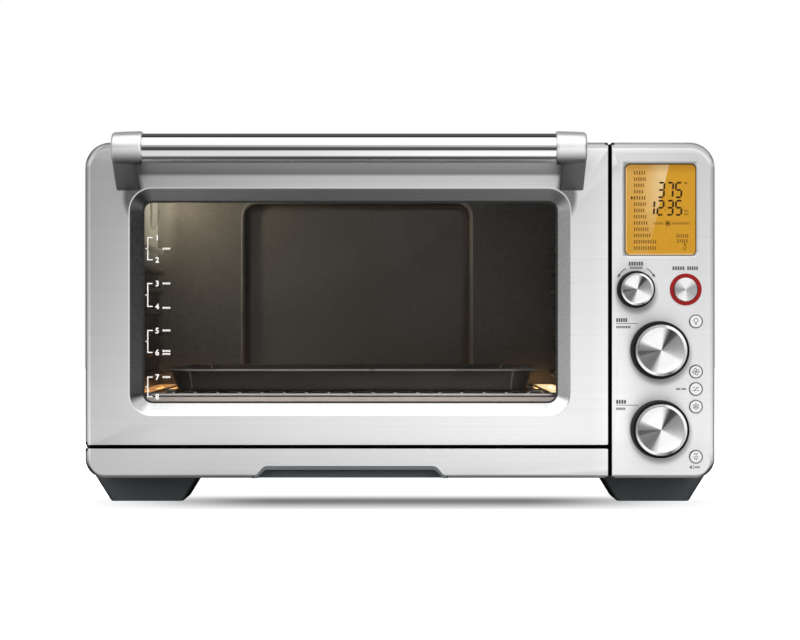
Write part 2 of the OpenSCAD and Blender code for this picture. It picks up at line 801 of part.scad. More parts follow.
module heat_shield() {
    color("silver") difference() {
        block(shield_x, inner_y, base_z + sheet_t, shield_x + sheet_t, rear_in_y, top_z - sheet_t);
        rod_x(shield_x - past, shield_x + sheet_t + past, fan_y, fan_z, fan_shaft_r + 2);
    }
}

module fan_motor() {
    color("dimgray") difference() {
        union() {
            rod_x(motor_x, motor_x + motor_l, fan_y, fan_z, motor_r);
            block(motor_x, fan_y - motor_r - 10, fan_z - 12,
                motor_x + 2, fan_y + motor_r + 10, fan_z + 12);
        }
        rod_x(motor_x - past, motor_x + motor_l + past, fan_y, fan_z, fan_shaft_r + run_gap);
    }
}

module fan_shaft() {
    color("silver") rod_x(cav_x1 + liner_t + 6, cooling_x + cooling_l, fan_y, fan_z, fan_shaft_r);
}

// A hub on the fan shaft with straight blades, from x0 to x1
module bladed_hub(x0, x1, hub_r, r, n, t, lean) {
    translate([x0, fan_y, fan_z]) rotate([0, 90, 0]) difference() {
        union() {
            cylinder(h = x1 - x0, r = hub_r);
            for (i = [0 : n - 1]) rotate([0, 0, 360 * i / n]) translate([hub_r - 1, -t / 2, 0])
                rotate([lean, 0, 0]) cube([r - hub_r, t, (x1 - x0) * 0.9]);
        }
        translate([0, 0, -past]) cylinder(h = x1 - x0 + 2 * past, r = fan_shaft_r);
    }
}

module convection_fan() {
    x = cav_x1 + liner_t;
    color("silver") bladed_hub(x + 8, x + pocket_d - 6, 10, fan_r, 8, 1.2, 0);
}

module cooling_fan() { color("black") bladed_hub(cooling_x, cooling_x + cooling_l, 9, cooling_r, 6,
    1.5, 0); }

// Electronics

// The power board keeps this distance from the cooling fan and the rear panel
power_gap = 12;
power_rise = 30;
power_h = 110;
power_stand = 8;
power_post_r = 3;
power_post_in = 6;
relay = [16, 20, 28];
relay_pitch = 34;
coil_box = [26, 32, 40];
cap_can_r = 9;
cap_can_l = 24;

module power_board() {
    y0 = fan_y + cooling_r + power_gap;
    y1 = rear_in_y - power_gap;
    z0 = base_z + power_rise;
    z1 = z0 + power_h;
    x = motor_x + power_stand;
    face = x + board_t;
    color("seagreen") {
        block(x, y0, z0, face, y1, z1);
        for (y = [y0 + power_post_in, y1 - power_post_in])
            for (z = [z0 + power_post_in, z1 - power_post_in])
            rod_x(motor_x, x, y, z, power_post_r);
        for (i = [0 : 2]) translate([face, y0 + relay[1] * 0.4, z0 + relay[2] * 0.3 + i * relay_pitch])
            cube(relay);
        translate([face, y1 - power_gap - coil_box[1], z0 + power_gap]) cube(coil_box);
        rod_x(face, face + cap_can_l, y1 - power_gap - coil_box[1] / 2, z0 + coil_box[2] * 2, cap_can_r);
    }
}

module control_board() {
    color("green") block(panel_x0 + board_side, board_y, base_z + board_low,
        right_x - 2 * board_side, board_y + board_t, top_z - board_top);
}

board_side = 5;
board_low = 12;
board_top = 8;
post_r = 3;
post_in = post_r + 1;
board_posts = [for (x = [panel_x0 + board_side + post_in, right_x - 2 * board_side - post_in])
    for (z = [base_z + board_low + 20, top_z - board_top - post_in]) [x, z]];

module display_module() {
    w = display_w + 3;
    h = display_h + 3;
    y = front_y + panel_wall + fit_gap;
    color("goldenrod") block(display_x - w / 2, y, display_z - h / 2, display_x + w / 2, board_y,
        display_z + h / 2);
}

module display_lens() {
    y = front_y + display_recess;
    color("khaki") along_y(y, front_y + panel_wall)
        rounded(display_x, display_z, display_w - 2 * fit_gap, display_h - 2 * fit_gap, 5 - fit_gap);
}

module encoder(x, z) {
    difference() {
        union() {
            block(x - encoder_w / 2, board_y - encoder_l, z - encoder_w / 2, x + encoder_w / 2,
                board_y, z + encoder_w / 2);
            rod_y(x, board_y - encoder_l - bush_l, board_y - encoder_l, z, bush_r);
        }
        rod_y(x, board_y - encoder_l - bush_l - past, board_y - 2, z, shaft_r + run_gap);
    }
}

module panel_switches() {
    color("dimgray") {
        encoder(select_x, select_z);
        encoder(dial_x, temp_z);
        encoder(dial_x, time_z);
        for (z = button_z) block(button_x - 3, board_y - switch_l, z - 3, button_x + 3, board_y, z + 3);
        block(start_x - 4, board_y - switch_l, select_z - 4, start_x + 4, board_y, select_z + 4);
    }
}

// Control panel

module control_panel() {
    box = [panel_x0, base_z, right_x, top_z];
    deep = panel_wall + 1;
    color("gainsboro") {
        difference() {
            panel_shell(box, [1, bottom_corner_r, top_corner_r, 1],
                [seam_edge, under_edge, edge_r, edge_r],
                front_y, front_d, panel_wall);
            along_y(front_y - past, front_y + deep)
                rounded(display_x, display_z, display_w, display_h, 5);
            for (p = [[select_x, select_z], [dial_x, temp_z], [dial_x, time_z]])
                rod_y(p[0], front_y - past, front_y + deep, p[1], shaft_r + slide_gap);
            rod_y(start_x, front_y - past, front_y + deep, select_z, start_r + start_ring_w + fit_gap);
            for (z = button_z) rod_y(button_x, front_y - past, front_y + deep, z, button_r + rest_gap);
        }
        for (p = board_posts) rod_y(p[0], front_y + panel_wall - 0.5, board_y, p[1], post_r);
    }
}

module start_ring() {
    r = start_r + rest_gap;
    color("red") on_panel(start_x, select_z) difference() {
        union() {
            translate([0, 0, -panel_wall - flange_t]) cylinder(h = panel_wall + flange_t + 0.6,
                r = start_r + start_ring_w);
            translate([0, 0, -panel_wall - flange_t]) cylinder(h = flange_t,
                r = start_r + start_ring_w + 1.5);
        }
        translate([0, 0, -panel_wall - flange_t - past])
            cylinder(h = panel_wall + flange_t + 2 * past + 1, r = r);
    }
}

// A button with a retaining flange behind the panel and a plunger that stops short of its switch
module push_button(x, z, r, proud, behind) {
    stem = board_y - front_y - switch_l - button_travel - rest_gap;
    on_panel(x, z) {
        translate([0, 0, -behind]) cylinder(h = behind + proud, r = r);
        translate([0, 0, -behind - flange_t]) cylinder(h = flange_t, r = r + 1.2);
        translate([0, 0, -stem]) cylinder(h = stem, r = 2);
    }
}

module start_button() { color("silver") push_button(start_x, select_z, start_r, 1.4,
    panel_wall + flange_t + rest_gap); }
module small_button(i) { color("gainsboro") push_button(button_x, button_z[i], button_r, button_proud,
    panel_wall + rest_gap); }

// Half section of a dial: skirt, side, polished rim and a shallow dished face
function dial_section(r, gap) = [[0, gap], [r - 1, gap], [r, gap + 1], [r, dial_h - 2.4],
    for (a = [20 : 20 : 80]) [r - 1.6 + 1.6 * cos(a), dial_h - 2.4 + 1.6 * sin(a)],
    [r - 1.8, dial_h - 0.8], [r - 4, dial_h], [r - 4.3, dial_h - 0.5], [0, dial_h - 0.2]];

module dial(x, z, r, gap) { on_panel(x, z) rotate_extrude() polygon(dial_section(r, gap)); }

// A dial with its own shaft down to the encoder's bush
module shafted_dial(z) {
    stem = board_y - front_y - 4;
    color("silver") {
        dial(dial_x, z, dial_r, dial_gap);
        on_panel(dial_x, z) translate([0, 0, -stem]) cylinder(h = stem + dial_gap + past, r = shaft_r);
    }
}

module temp_knob() { shafted_dial(temp_z); }
module time_knob() { shafted_dial(time_z); }

select_grip = 10;
module select_knob() {
    color("silver") difference() {
        dial(select_x, select_z, select_r, select_gap);
        on_panel(select_x, select_z) translate([0, 0, select_gap - past])
            cylinder(h = select_grip + past, r = shaft_r + run_gap);
    }
}

module select_shaft() {
    stem = board_y - front_y - 4 - select_travel;
    color("silver") on_panel(select_x, select_z)
        translate([0, 0, -stem]) cylinder(h = stem + select_gap + select_grip - fit_gap, r = shaft_r);
}

// Door

function window_ring(grow, r) = let (w = window_w / 2 + grow, h = window_h / 2 + grow)
    outline(door_cx - w, window_cz - h, door_cx + w, window_cz + h, [r, r, r, r]);

bevel_r = window_r + bevel_w * 0.8;
bevel_back_y = front_y + bevel_d + sheet_t;

// A block cut for each hinge arm's sweep, between the lugs
module hinge_cuts(y0, y1, z0) {
    for (k = [0, 1]) let (s = hinge_side[k])
        block(min(hinge_x[k] + s * lug_out, hinge_x[k] - s * lug_in), y0, z0,
            max(hinge_x[k] + s * lug_out, hinge_x[k] - s * lug_in), y1, hinge_z + arm_r + slide_gap);
}

handle_screw_at = [for (x = [handle_x0 + bracket_w / 2, handle_x1 - bracket_w / 2]) for (i = [0, 1])
    [x, tube_z - cap_r - 20 + bracket_screw_z + i * bracket_screw_pitch]];

module door_skin() {
    box = [door_x0, door_z0, door_x1, top_z];
    color("silver") difference() {
        union() {
            panel_shell(box, [1, 1, 1, top_corner_r], [edge_r, seam_edge, seam_edge, edge_r],
                front_y, skin_back_y - front_y, sheet_t);
            loft([in_xz(window_ring(4, window_r + 4), bevel_back_y),
                in_xz(window_ring(bevel_w + 2, bevel_r + 2), front_y + sheet_t / 2)]);
        }
        loft([in_xz(window_ring(0, window_r), bevel_back_y + past), in_xz(window_ring(0, window_r),
            front_y + bevel_d),
            in_xz(window_ring(bevel_w, bevel_r), front_y), in_xz(window_ring(bevel_w, bevel_r),
                front_y - past)]);
        hinge_cuts(front_y + sheet_t, skin_back_y + past, door_z0 - past);
        for (p = handle_screw_at) rod_y(p[0], front_y - past, front_y + sheet_t + past, p[1],
            bracket_screw_r + fit_gap);
    }
}

module door_inner_frame() {
    k = 0.6;
    tunnel = 4;
    color("lightgray") difference() {
        union() {
            along_y(skin_back_y, door_back_y) {
                translate([door_x0 + k, door_z0 + k]) square([door_x1 - door_x0 - 2 * k,
                    top_z - door_z0 - top_corner_r]);
                translate([door_x0 + top_corner_r, top_z - 2 * top_corner_r])
                    square([door_x1 - door_x0 - top_corner_r - k, 2 * top_corner_r - k]);
                translate([door_x0 + top_corner_r, top_z - top_corner_r]) circle(top_corner_r - k);
            }
            along_y(glass_y + glass_t, skin_back_y)
                rounded(door_cx, window_cz, window_w + 2 * tunnel, window_h + 2 * tunnel,
                    window_r + tunnel);
            for (k = [0, 1]) for (o = [lug_out, -lug_in - lug_t])
                let (x = hinge_x[k] + hinge_side[k] * (o + lug_t / 2))
                block(x - lug_t / 2, front_y + sheet_t + rest_gap, door_z0 + sheet_t + rest_gap,
                    x + lug_t / 2, skin_back_y, hinge_z + lug_up);
        }
        along_y(glass_y, door_back_y + past)
            rounded(door_cx, window_cz, window_w + 2 * tunnel - 3, window_h + 2 * tunnel - 3,
                window_r + tunnel - 1.5);
        hinge_cuts(front_y, door_back_y + past, door_z0 - past);
        for (k = [0, 1]) rod_x(hinge_x[k] - 20, hinge_x[k] + 20, hinge_y, hinge_z, pin_r + 0.02);
        for (x = magnet_x) rod_y(x, skin_back_y - past, door_back_y + past, magnet_z, magnet_r + fit_gap);
    }
}

module glass_sheet(y0, y1) {
    along_y(y0, y1) rounded(door_cx, window_cz, window_w + 2 * glass_lap, window_h + 2 * glass_lap,
        window_r + glass_lap);
}

module door_glass() { color("lightblue") glass_sheet(glass_y, glass_y + glass_t); }

module glass_seal() {
    rim = 1.5;
    color("black") difference() {
        along_y(bevel_back_y, glass_y + glass_t) rounded(door_cx, window_cz,
            window_w + 2 * (glass_lap + rim),
            window_h + 2 * (glass_lap + rim), window_r + glass_lap + rim);
        along_y(bevel_back_y - past, glass_y + glass_t + past) rounded(door_cx, window_cz,
            window_w - 2 * seal_lip, window_h - 2 * seal_lip, window_r - seal_lip);
        glass_sheet(glass_y, glass_y + glass_t + past);
    }
}

magnet_x = [cav_x0 + 9, cav_x1 - 9];
magnet_z = cav_z0 + rack_rise + (levels / 2) * level_pitch;
magnet_r = 5;

module rack_magnets() {
    color("dimgray") for (x = magnet_x) {
        rod_y(x, skin_back_y - 3, door_back_y + 0.6, magnet_z, magnet_r);
        rod_y(x, skin_back_y - 3, skin_back_y, magnet_z, magnet_r + 1.5);
    }
}

module hinge_pins() {
    color("silver") for (k = [0, 1]) let (s = hinge_side[k],
        a = hinge_x[k] + s * (lug_out + lug_t + 1), b = hinge_x[k] - s * (lug_in + lug_t + 1))
        rod_x(min(a, b), max(a, b), hinge_y, hinge_z, pin_r);
}

// A torsion spring's coil round the pin, between the arm and the inner lug
spring_wire = 0.5;
spring_turns = 5;
spring_rings = 8;
spring_pitch = (spring_l - 2 * spring_wire - 1) / spring_turns;
spring_coil_r = pin_r + spring_wire + rest_gap;
function spring_ring(t) = let (a = 360 * t)
    [for (j = [0 : 5]) let (b = 60 * j, r = spring_coil_r + spring_wire * cos(b))
        [t * spring_pitch + spring_wire * sin(b), r * cos(a), r * sin(a)]];

module hinge_springs() {
    color("silver") for (k = [0, 1]) let (s = hinge_side[k])
        translate([hinge_x[k] - s * (arm_t / 2 + 0.5 + spring_l / 2) - spring_pitch * spring_turns / 2,
            hinge_y, hinge_z])
            loft([for (i = [0 : spring_turns * spring_rings]) spring_ring(i / spring_rings)]);
}

module hinge_brackets() {
    y1 = inner_y + 30;
    color("lightgray") for (k = [0, 1]) let (x = hinge_x[k], s = hinge_side[k]) difference() {
        union() {
            rod_x(x - arm_t / 2, x + arm_t / 2, hinge_y, hinge_z, arm_r);
            block(x - arm_t / 2, hinge_y, hinge_z - arm_r, x + arm_t / 2, y1, hinge_z + arm_r);
            block(x - arm_t / 2, inner_y, hinge_z - arm_r, x + arm_t / 2, y1, hinge_z + 30);
            block(min(x, x + s * 9), inner_y, hinge_z + 8, max(x, x + s * 9), inner_y + 2, hinge_z + 30);
        }
        rod_x(x - arm_t, x + arm_t, hinge_y, hinge_z, pin_r + run_gap);
    }
}

// Handle

module handle_tube() {
    x0 = handle_x0 + bracket_w - socket_d;
    x1 = handle_x1 - bracket_w + socket_d;
    color("silver") difference() {
        rod_x(x0, x1, tube_y, tube_z, tube_r);
        rod_x(x0 - past, x1 + past, tube_y, tube_z, tube_r - tube_wall);
    }
}

// One end bracket: s is -1 on the left and 1 on the right
module handle_bracket(s) {
    x_out = door_cx + s * handle_l / 2;
    x_in = x_out - s * bracket_w;
    foot_z0 = tube_z - cap_r - 20;
    difference() {
        intersection() {
            along_x(min(x_out, x_in) - past, max(x_out, x_in) + past) hull() {
                translate([tube_y, tube_z]) circle(cap_r);
                translate([front_y - 1, foot_z0]) square([1, bracket_foot]);
            }
            along_y(front_y - handle_reach - past, front_y) polygon([[x_in, tube_z + cap_r + past],
                [x_out - s * 1.5, tube_z + cap_r + past],
                [x_out, tube_z], [x_out, tube_z - cap_r * 0.6], [x_out - s * arm_taper, foot_z0 - past],
                [x_in + s * arm_step, foot_z0 - past], [x_in + s * arm_step, tube_z - cap_r], [x_in,
                    tube_z - cap_r]]);
        }
        rod_x(s < 0 ? x_in - socket_d : x_in - past, s < 0 ? x_in + past : x_in + socket_d, tube_y,
            tube_z, tube_r + fit_gap);
        for (p = handle_screw_at) rod_y(p[0], front_y - bracket_screw_deep - past, front_y + past,
            p[1], bracket_screw_r + run_gap);
    }
}

module handle_brackets() { color("silver") for (s = [-1, 1]) handle_bracket(s); }

module handle_screws() {
    color("dimgray") for (p = handle_screw_at) translate([p[0], front_y + sheet_t, p[1]]) rotate([-90,
        0, 0])
        screw(bracket_screw_r, bracket_screw_r * 2, 3, bracket_screw_deep + sheet_t);
}

// Drawer

module grip_outline(grow) {
    polygon([for (p = [[-1, 0], [1, 0], [1, 1], [-1, 1]])
        [door_cx + p[0] * (grip_w / 2 + grow - p[1] * grip_slope),
            base_z - past + p[1] * (grip_h + past + grow)]]);
}

module tray_front() {
    box = [door_x0, base_z, door_x1, drawer_top];
    color("silver") difference() {
        panel_shell(box, [bottom_corner_r, 1, 1, 1], [edge_r, under_edge, seam_edge, seam_edge],
            front_y, skin_back_y - front_y, sheet_t);
        along_y(front_y - past, skin_back_y + past) grip_outline(0);
    }
}

module tray_grip() {
    color("darkslategray") difference() {
        intersection() {
            along_y(front_y + grip_cut, skin_back_y) grip_outline(-fit_gap);
            block(left_x, front_y, base_z, right_x, rear_y, drawer_top);
        }
        along_y(front_y + 3 * grip_cut, front_y + 20) translate([door_cx - grip_w / 2 + 2 * grip_slope,
            base_z - past])
            square([grip_w - 4 * grip_slope, grip_h - 2]);
    }
}

module crumb_tray() {
    x1 = tray_x0 + tray_w;
    y1 = tray_y0 + tray_d;
    color("gray") {
        difference() {
            block(tray_x0, tray_y0, tray_z0, x1, y1, tray_z0 + tray_deep);
            block(tray_x0 + tray_t, tray_y0 + tray_t, tray_z0 + tray_t, x1 - tray_t, y1 - tray_t,
                tray_z0 + tray_deep + past);
        }
        block(door_x0 + bottom_corner_r, tray_y0, base_z + 2, door_x1 - 4, tray_y0 + tray_t,
            drawer_top - 2);
    }
}

// Rack and pan

module rack_corner_arc(cx, cy, from) {
    translate([cx, cy, rack_rod_z]) rotate([0, 0, from]) rotate_extrude(angle = 90)
        translate([rack_corner, 0]) circle(rod_r);
}

module wire_rack() {
    c = rack_corner;
    xs = [for (i = [0 : wire_n]) door_cx + (i - wire_n / 2) * wire_pitch];
    color("silver") {
        for (x = [rack_x0, rack_x1]) rod_y(x, rack_y0 + c, rack_y1 - c, rack_rod_z, rod_r);
        for (y = [rack_y0, rack_y1]) rod_x(rack_x0 + c, rack_x1 - c, y, rack_rod_z, rod_r);
        rack_corner_arc(rack_x0 + c, rack_y0 + c, 180);
        rack_corner_arc(rack_x1 - c, rack_y0 + c, 270);
        rack_corner_arc(rack_x1 - c, rack_y1 - c, 0);
        rack_corner_arc(rack_x0 + c, rack_y1 - c, 90);
        for (x = xs) {
            rod_y(x, rack_y0 - rod_r * 0.7, rack_y1 + rod_r * 0.7, wire_z, wire_r);
            rod_z(x, rack_y0 + 0.6, rack_rod_z - rack_drop, rack_rod_z, wire_r);
        }
        rod_x(xs[0] - 6, xs[wire_n] + 6, rack_y0 + 0.6, rack_rod_z - rack_drop, wire_r * 1.3);
        rod_x(rack_x0, rack_x1, (rack_y0 + rack_y1) / 2, rack_rod_z - 0.5, rod_r * 0.9);
    }
}

function pan_ring(z, grow, r) = let (w = pan_w / 2 - pan_flange + grow, d = pan_d / 2 - pan_flange + grow)
    in_xy(outline(door_cx - w, pan_cy - d, door_cx + w, pan_cy + d, [r, r, r, r]), z);

module roasting_pan() {
    top = pan_z0 + pan_h;
    foot_r = 5;
    color("dimgray") difference() {
        union() {
            loft([pan_ring(pan_z0, -pan_draft - foot_r, pan_r - foot_r),
                pan_ring(pan_z0 + foot_r * 0.3, -pan_draft - foot_r * 0.3, pan_r),
                pan_ring(pan_z0 + foot_r, -pan_draft * 0.8, pan_r), pan_ring(top, 0, pan_r + 2)]);
            loft([pan_ring(top - 2.4, pan_flange - 1, pan_r + 6), pan_ring(top - 1.2, pan_flange,
                pan_r + 7),
                pan_ring(top, pan_flange - 1, pan_r + 6)]);
        }
        loft([pan_ring(pan_z0 + pan_t, -pan_draft - foot_r - pan_t, pan_r - foot_r),
            pan_ring(pan_z0 + foot_r + pan_t, -pan_draft * 0.8 - pan_t, pan_r),
            pan_ring(top + past, -pan_t, pan_r)]);
    }
}

outer_wrap();
rear_panel();
base_pan();
front_frame();
control_panel();
cavity_left();
cavity_right();
cavity_top();
cavity_floor();
cavity_back();
quartz_tubes();
element_end_caps();
element_guard();
lamp_lens();
lamp_bulb();
lamp_socket();
fan_grille();
fan_housing();
fan_motor();
heat_shield();
temperature_probe();
control_board();
display_module();
display_lens();
panel_switches();
power_board();
feet();
foot_pads();
casing_screws();
cord_gland();
hinge_brackets();
start_ring();
door_skin();
door_inner_frame();
door_glass();
glass_seal();
handle_tube();
handle_brackets();
handle_screws();
hinge_pins();
hinge_springs();
rack_magnets();
crumb_tray();
tray_front();
tray_grip();
wire_rack();
roasting_pan();
convection_fan();
fan_shaft();
cooling_fan();
select_shaft();
select_knob();
temp_knob();
time_knob();
start_button();
small_button(0);  // light_button
small_button(1);  // fan_button
small_button(2);  // phase_button
small_button(3);  // frozen_button
small_button(4);  // unit_button
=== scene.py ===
"""Air fryer oven: finishes, fine surfaces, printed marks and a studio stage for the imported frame."""

import json
import math

import bmesh
import bpy
import numpy as np
from bpy.props import FloatProperty, FloatVectorProperty, PointerProperty
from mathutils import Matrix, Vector


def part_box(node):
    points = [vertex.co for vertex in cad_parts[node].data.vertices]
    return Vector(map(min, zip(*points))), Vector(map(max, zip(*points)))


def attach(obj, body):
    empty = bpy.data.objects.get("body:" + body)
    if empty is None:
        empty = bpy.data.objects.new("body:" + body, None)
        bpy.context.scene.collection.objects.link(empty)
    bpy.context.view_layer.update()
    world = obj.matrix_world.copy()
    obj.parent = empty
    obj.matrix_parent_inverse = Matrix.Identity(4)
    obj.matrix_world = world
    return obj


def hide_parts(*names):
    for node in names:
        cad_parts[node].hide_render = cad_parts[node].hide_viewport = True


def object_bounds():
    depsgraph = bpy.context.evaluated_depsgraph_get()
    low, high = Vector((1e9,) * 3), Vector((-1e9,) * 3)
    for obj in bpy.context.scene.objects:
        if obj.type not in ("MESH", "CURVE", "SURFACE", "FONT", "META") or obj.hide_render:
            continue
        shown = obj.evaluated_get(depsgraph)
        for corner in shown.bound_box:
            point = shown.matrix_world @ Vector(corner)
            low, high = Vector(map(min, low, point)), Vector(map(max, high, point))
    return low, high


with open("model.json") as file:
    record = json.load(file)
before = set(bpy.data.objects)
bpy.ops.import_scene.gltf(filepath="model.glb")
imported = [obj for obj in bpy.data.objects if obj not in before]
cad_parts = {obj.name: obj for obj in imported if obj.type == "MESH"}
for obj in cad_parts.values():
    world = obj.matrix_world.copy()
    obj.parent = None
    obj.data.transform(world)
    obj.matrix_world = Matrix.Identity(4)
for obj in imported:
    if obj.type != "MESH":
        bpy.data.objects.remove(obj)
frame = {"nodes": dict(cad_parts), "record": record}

bl_info = {
    "name": "Air fryer oven dressing",
    "version": (1, 0, 0),
    "blender": (4, 5, 0),
    "location": "View3D > Sidebar > Oven",
    "description": "Surfaces, finishes and stage for a countertop air fryer oven",
    "category": "Object",
}

CAD_BOX = [list(corner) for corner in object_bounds()]
MM = 0.001

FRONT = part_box("door_skin")[0].y
DOOR_LOW, DOOR_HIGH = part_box("door_skin")
PANEL_LOW, PANEL_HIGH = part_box("control_panel")
DRAWER_LOW, DRAWER_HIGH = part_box("tray_front")
GLASS_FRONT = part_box("door_glass")[0].y
LENS_LOW, LENS_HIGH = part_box("display_lens")
# The lit face shows a little more at the left and above than the solid lens.
LENS_LOW = LENS_LOW - Vector((0.5 * MM, 0.0, 0.0))
LENS_HIGH = LENS_HIGH + Vector((0.0, 0.0, 1.4 * MM))
LENS_CENTRE = (LENS_LOW + LENS_HIGH) / 2
CAVITY_X = (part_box("cavity_left")[1].x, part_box("cavity_right")[0].x)
DIALS = ("select_knob", "temp_knob", "time_knob")
KEYS = ("light_button", "fan_button", "phase_button", "frozen_button", "unit_button")
# Radii of the panel's round holes.
DIAL_HOLE, START_HOLE, KEY_HOLE = 4.5 * MM, 10.6 * MM, 6.14 * MM
# Corner radius where two sheets meet square, and that of the display's opening.
SQUARE, DISPLAY_CORNER = 1.5 * MM, 4.5 * MM
# Sharpest bend that is still shaded smooth, in degrees.
CREASE = 40.0
# Noise scales of the brush lines, for each axis that the lines can follow.
BRUSH = {"X": (5.0, 1400.0, 1400.0), "Y": (1400.0, 5.0, 1400.0)}


def middle(node):
    """Centre of a node's box at rest."""
    low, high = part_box(node)
    return (low + high) / 2


def tint(name, description, default):
    """Colour setting of a finish."""
    return FloatVectorProperty(name=name, description=description, default=default, subtype="COLOR",
                               min=0.0, max=1.0)


def length(name, description, default, low, high, scale=MM):
    """Length setting, in millimetres unless another scale is given."""
    return FloatProperty(name=name, description=description, default=default * scale, min=low * scale,
                         max=high * scale, unit="LENGTH")


def power(name, description, default, high):
    """Lamp setting in watts."""
    return FloatProperty(name=name, description=description, default=default, min=0.0, max=high,
                         unit="POWER")


class OvenColours(bpy.types.PropertyGroup):
    """Colours that the finishes start from."""

    steel: tint("Steel", "Brushed steel of the front and the casing", (0.86, 0.86, 0.86))
    aluminium: tint("Aluminium", "Satin aluminium of the handle ends and the dials", (0.86, 0.86, 0.87))
    slate: tint("Slate", "Moulded plastic of the feet and the drawer grip", (0.165, 0.185, 0.196))
    amber: tint("Amber", "Lit face of the display", (0.60, 0.30, 0.024))
    ring: tint("Start ring", "Lit ring round the start button", (0.22, 0.006, 0.007))
    liner: tint("Liner", "Coated sheet that lines the cavity", (0.15, 0.14, 0.125))
    enamel: tint("Enamel", "Dark enamel of the roasting pan", (0.022, 0.020, 0.018))
    print_grey: tint("Panel print", "Ink of the marks on the control panel", (0.055, 0.055, 0.06))
    print_white: tint("Glass print", "Ink of the rack marks on the window", (0.80, 0.79, 0.76))


class OvenShapes(bpy.types.PropertyGroup):
    """Sizes of the surfaces that are made here."""

    edge_radius: length("Front edge radius", "Rounding of the front where it meets the casing", 6.5, 2, 8)
    seam_radius: length("Seam radius", "Rounding along the seams between the front's panels", 0.5, 0.4, 2)
    under_radius: length("Lower edge radius", "Rounding along the front's lower edge", 3.6, 1, 6)
    foot_radius: length("Lower corner radius", "Casing's lower corners seen from the front", 17, 8, 24)
    corner_radius: length("Casing corner radius", "Casing's upper corners seen from the front", 22, 10, 30)
    window_width: length("Window width", "Width of the clear window", 361, 300, 380)
    window_height: length("Window height", "Height of the clear window", 176, 150, 190)
    window_radius: length("Window corner radius", "Corner radius of the clear window", 9, 4, 20)
    bevel_width: length("Window slope width", "Width of the sloped frame round the window", 10, 5, 14)
    bevel_depth: length("Window slope depth", "Depth of the sloped frame round the window", 9, 4, 9)
    lip_radius: length("Window lip radius", "Rounding where the front turns into the slope", 2.6, 0.5, 4)
    sheet: length("Sheet thickness", "Thickness of the pressed steel", 1.2, 0.6, 2)
    print_height: length("Print height", "Thickness of the printed marks", 0.08, 0.03, 0.2)


class OvenStage(bpy.types.PropertyGroup):
    """Camera and light."""

    distance: length("Camera distance", "From the camera to the oven's front", 2.2, 1.0, 6.0, 1.0)
    height: length("Camera height", "Height of the camera above the table", 0.1594, 0.0, 1.0, 1.0)
    view_width: length("View width", "What the picture takes in at the front", 0.6922, 0.4, 1.5, 1.0)
    key_power: power("Key light", "Power of the soft light above the front", 16.0, 200.0)
    fill_power: power("Fill light", "Power of the soft lights at both sides", 7.0, 200.0)
    oven_lamp_power: power("Oven lamp", "Power of the lamp inside the cavity", 0.216, 10.0)
    glow_power: power("Element glow", "Power of the glow of the lower heating tubes", 0.03, 5.0)


def colours():
    """Colour settings of the scene."""
    return bpy.context.scene.oven_colours


def shapes():
    """Size settings of the scene."""
    return bpy.context.scene.oven_shapes


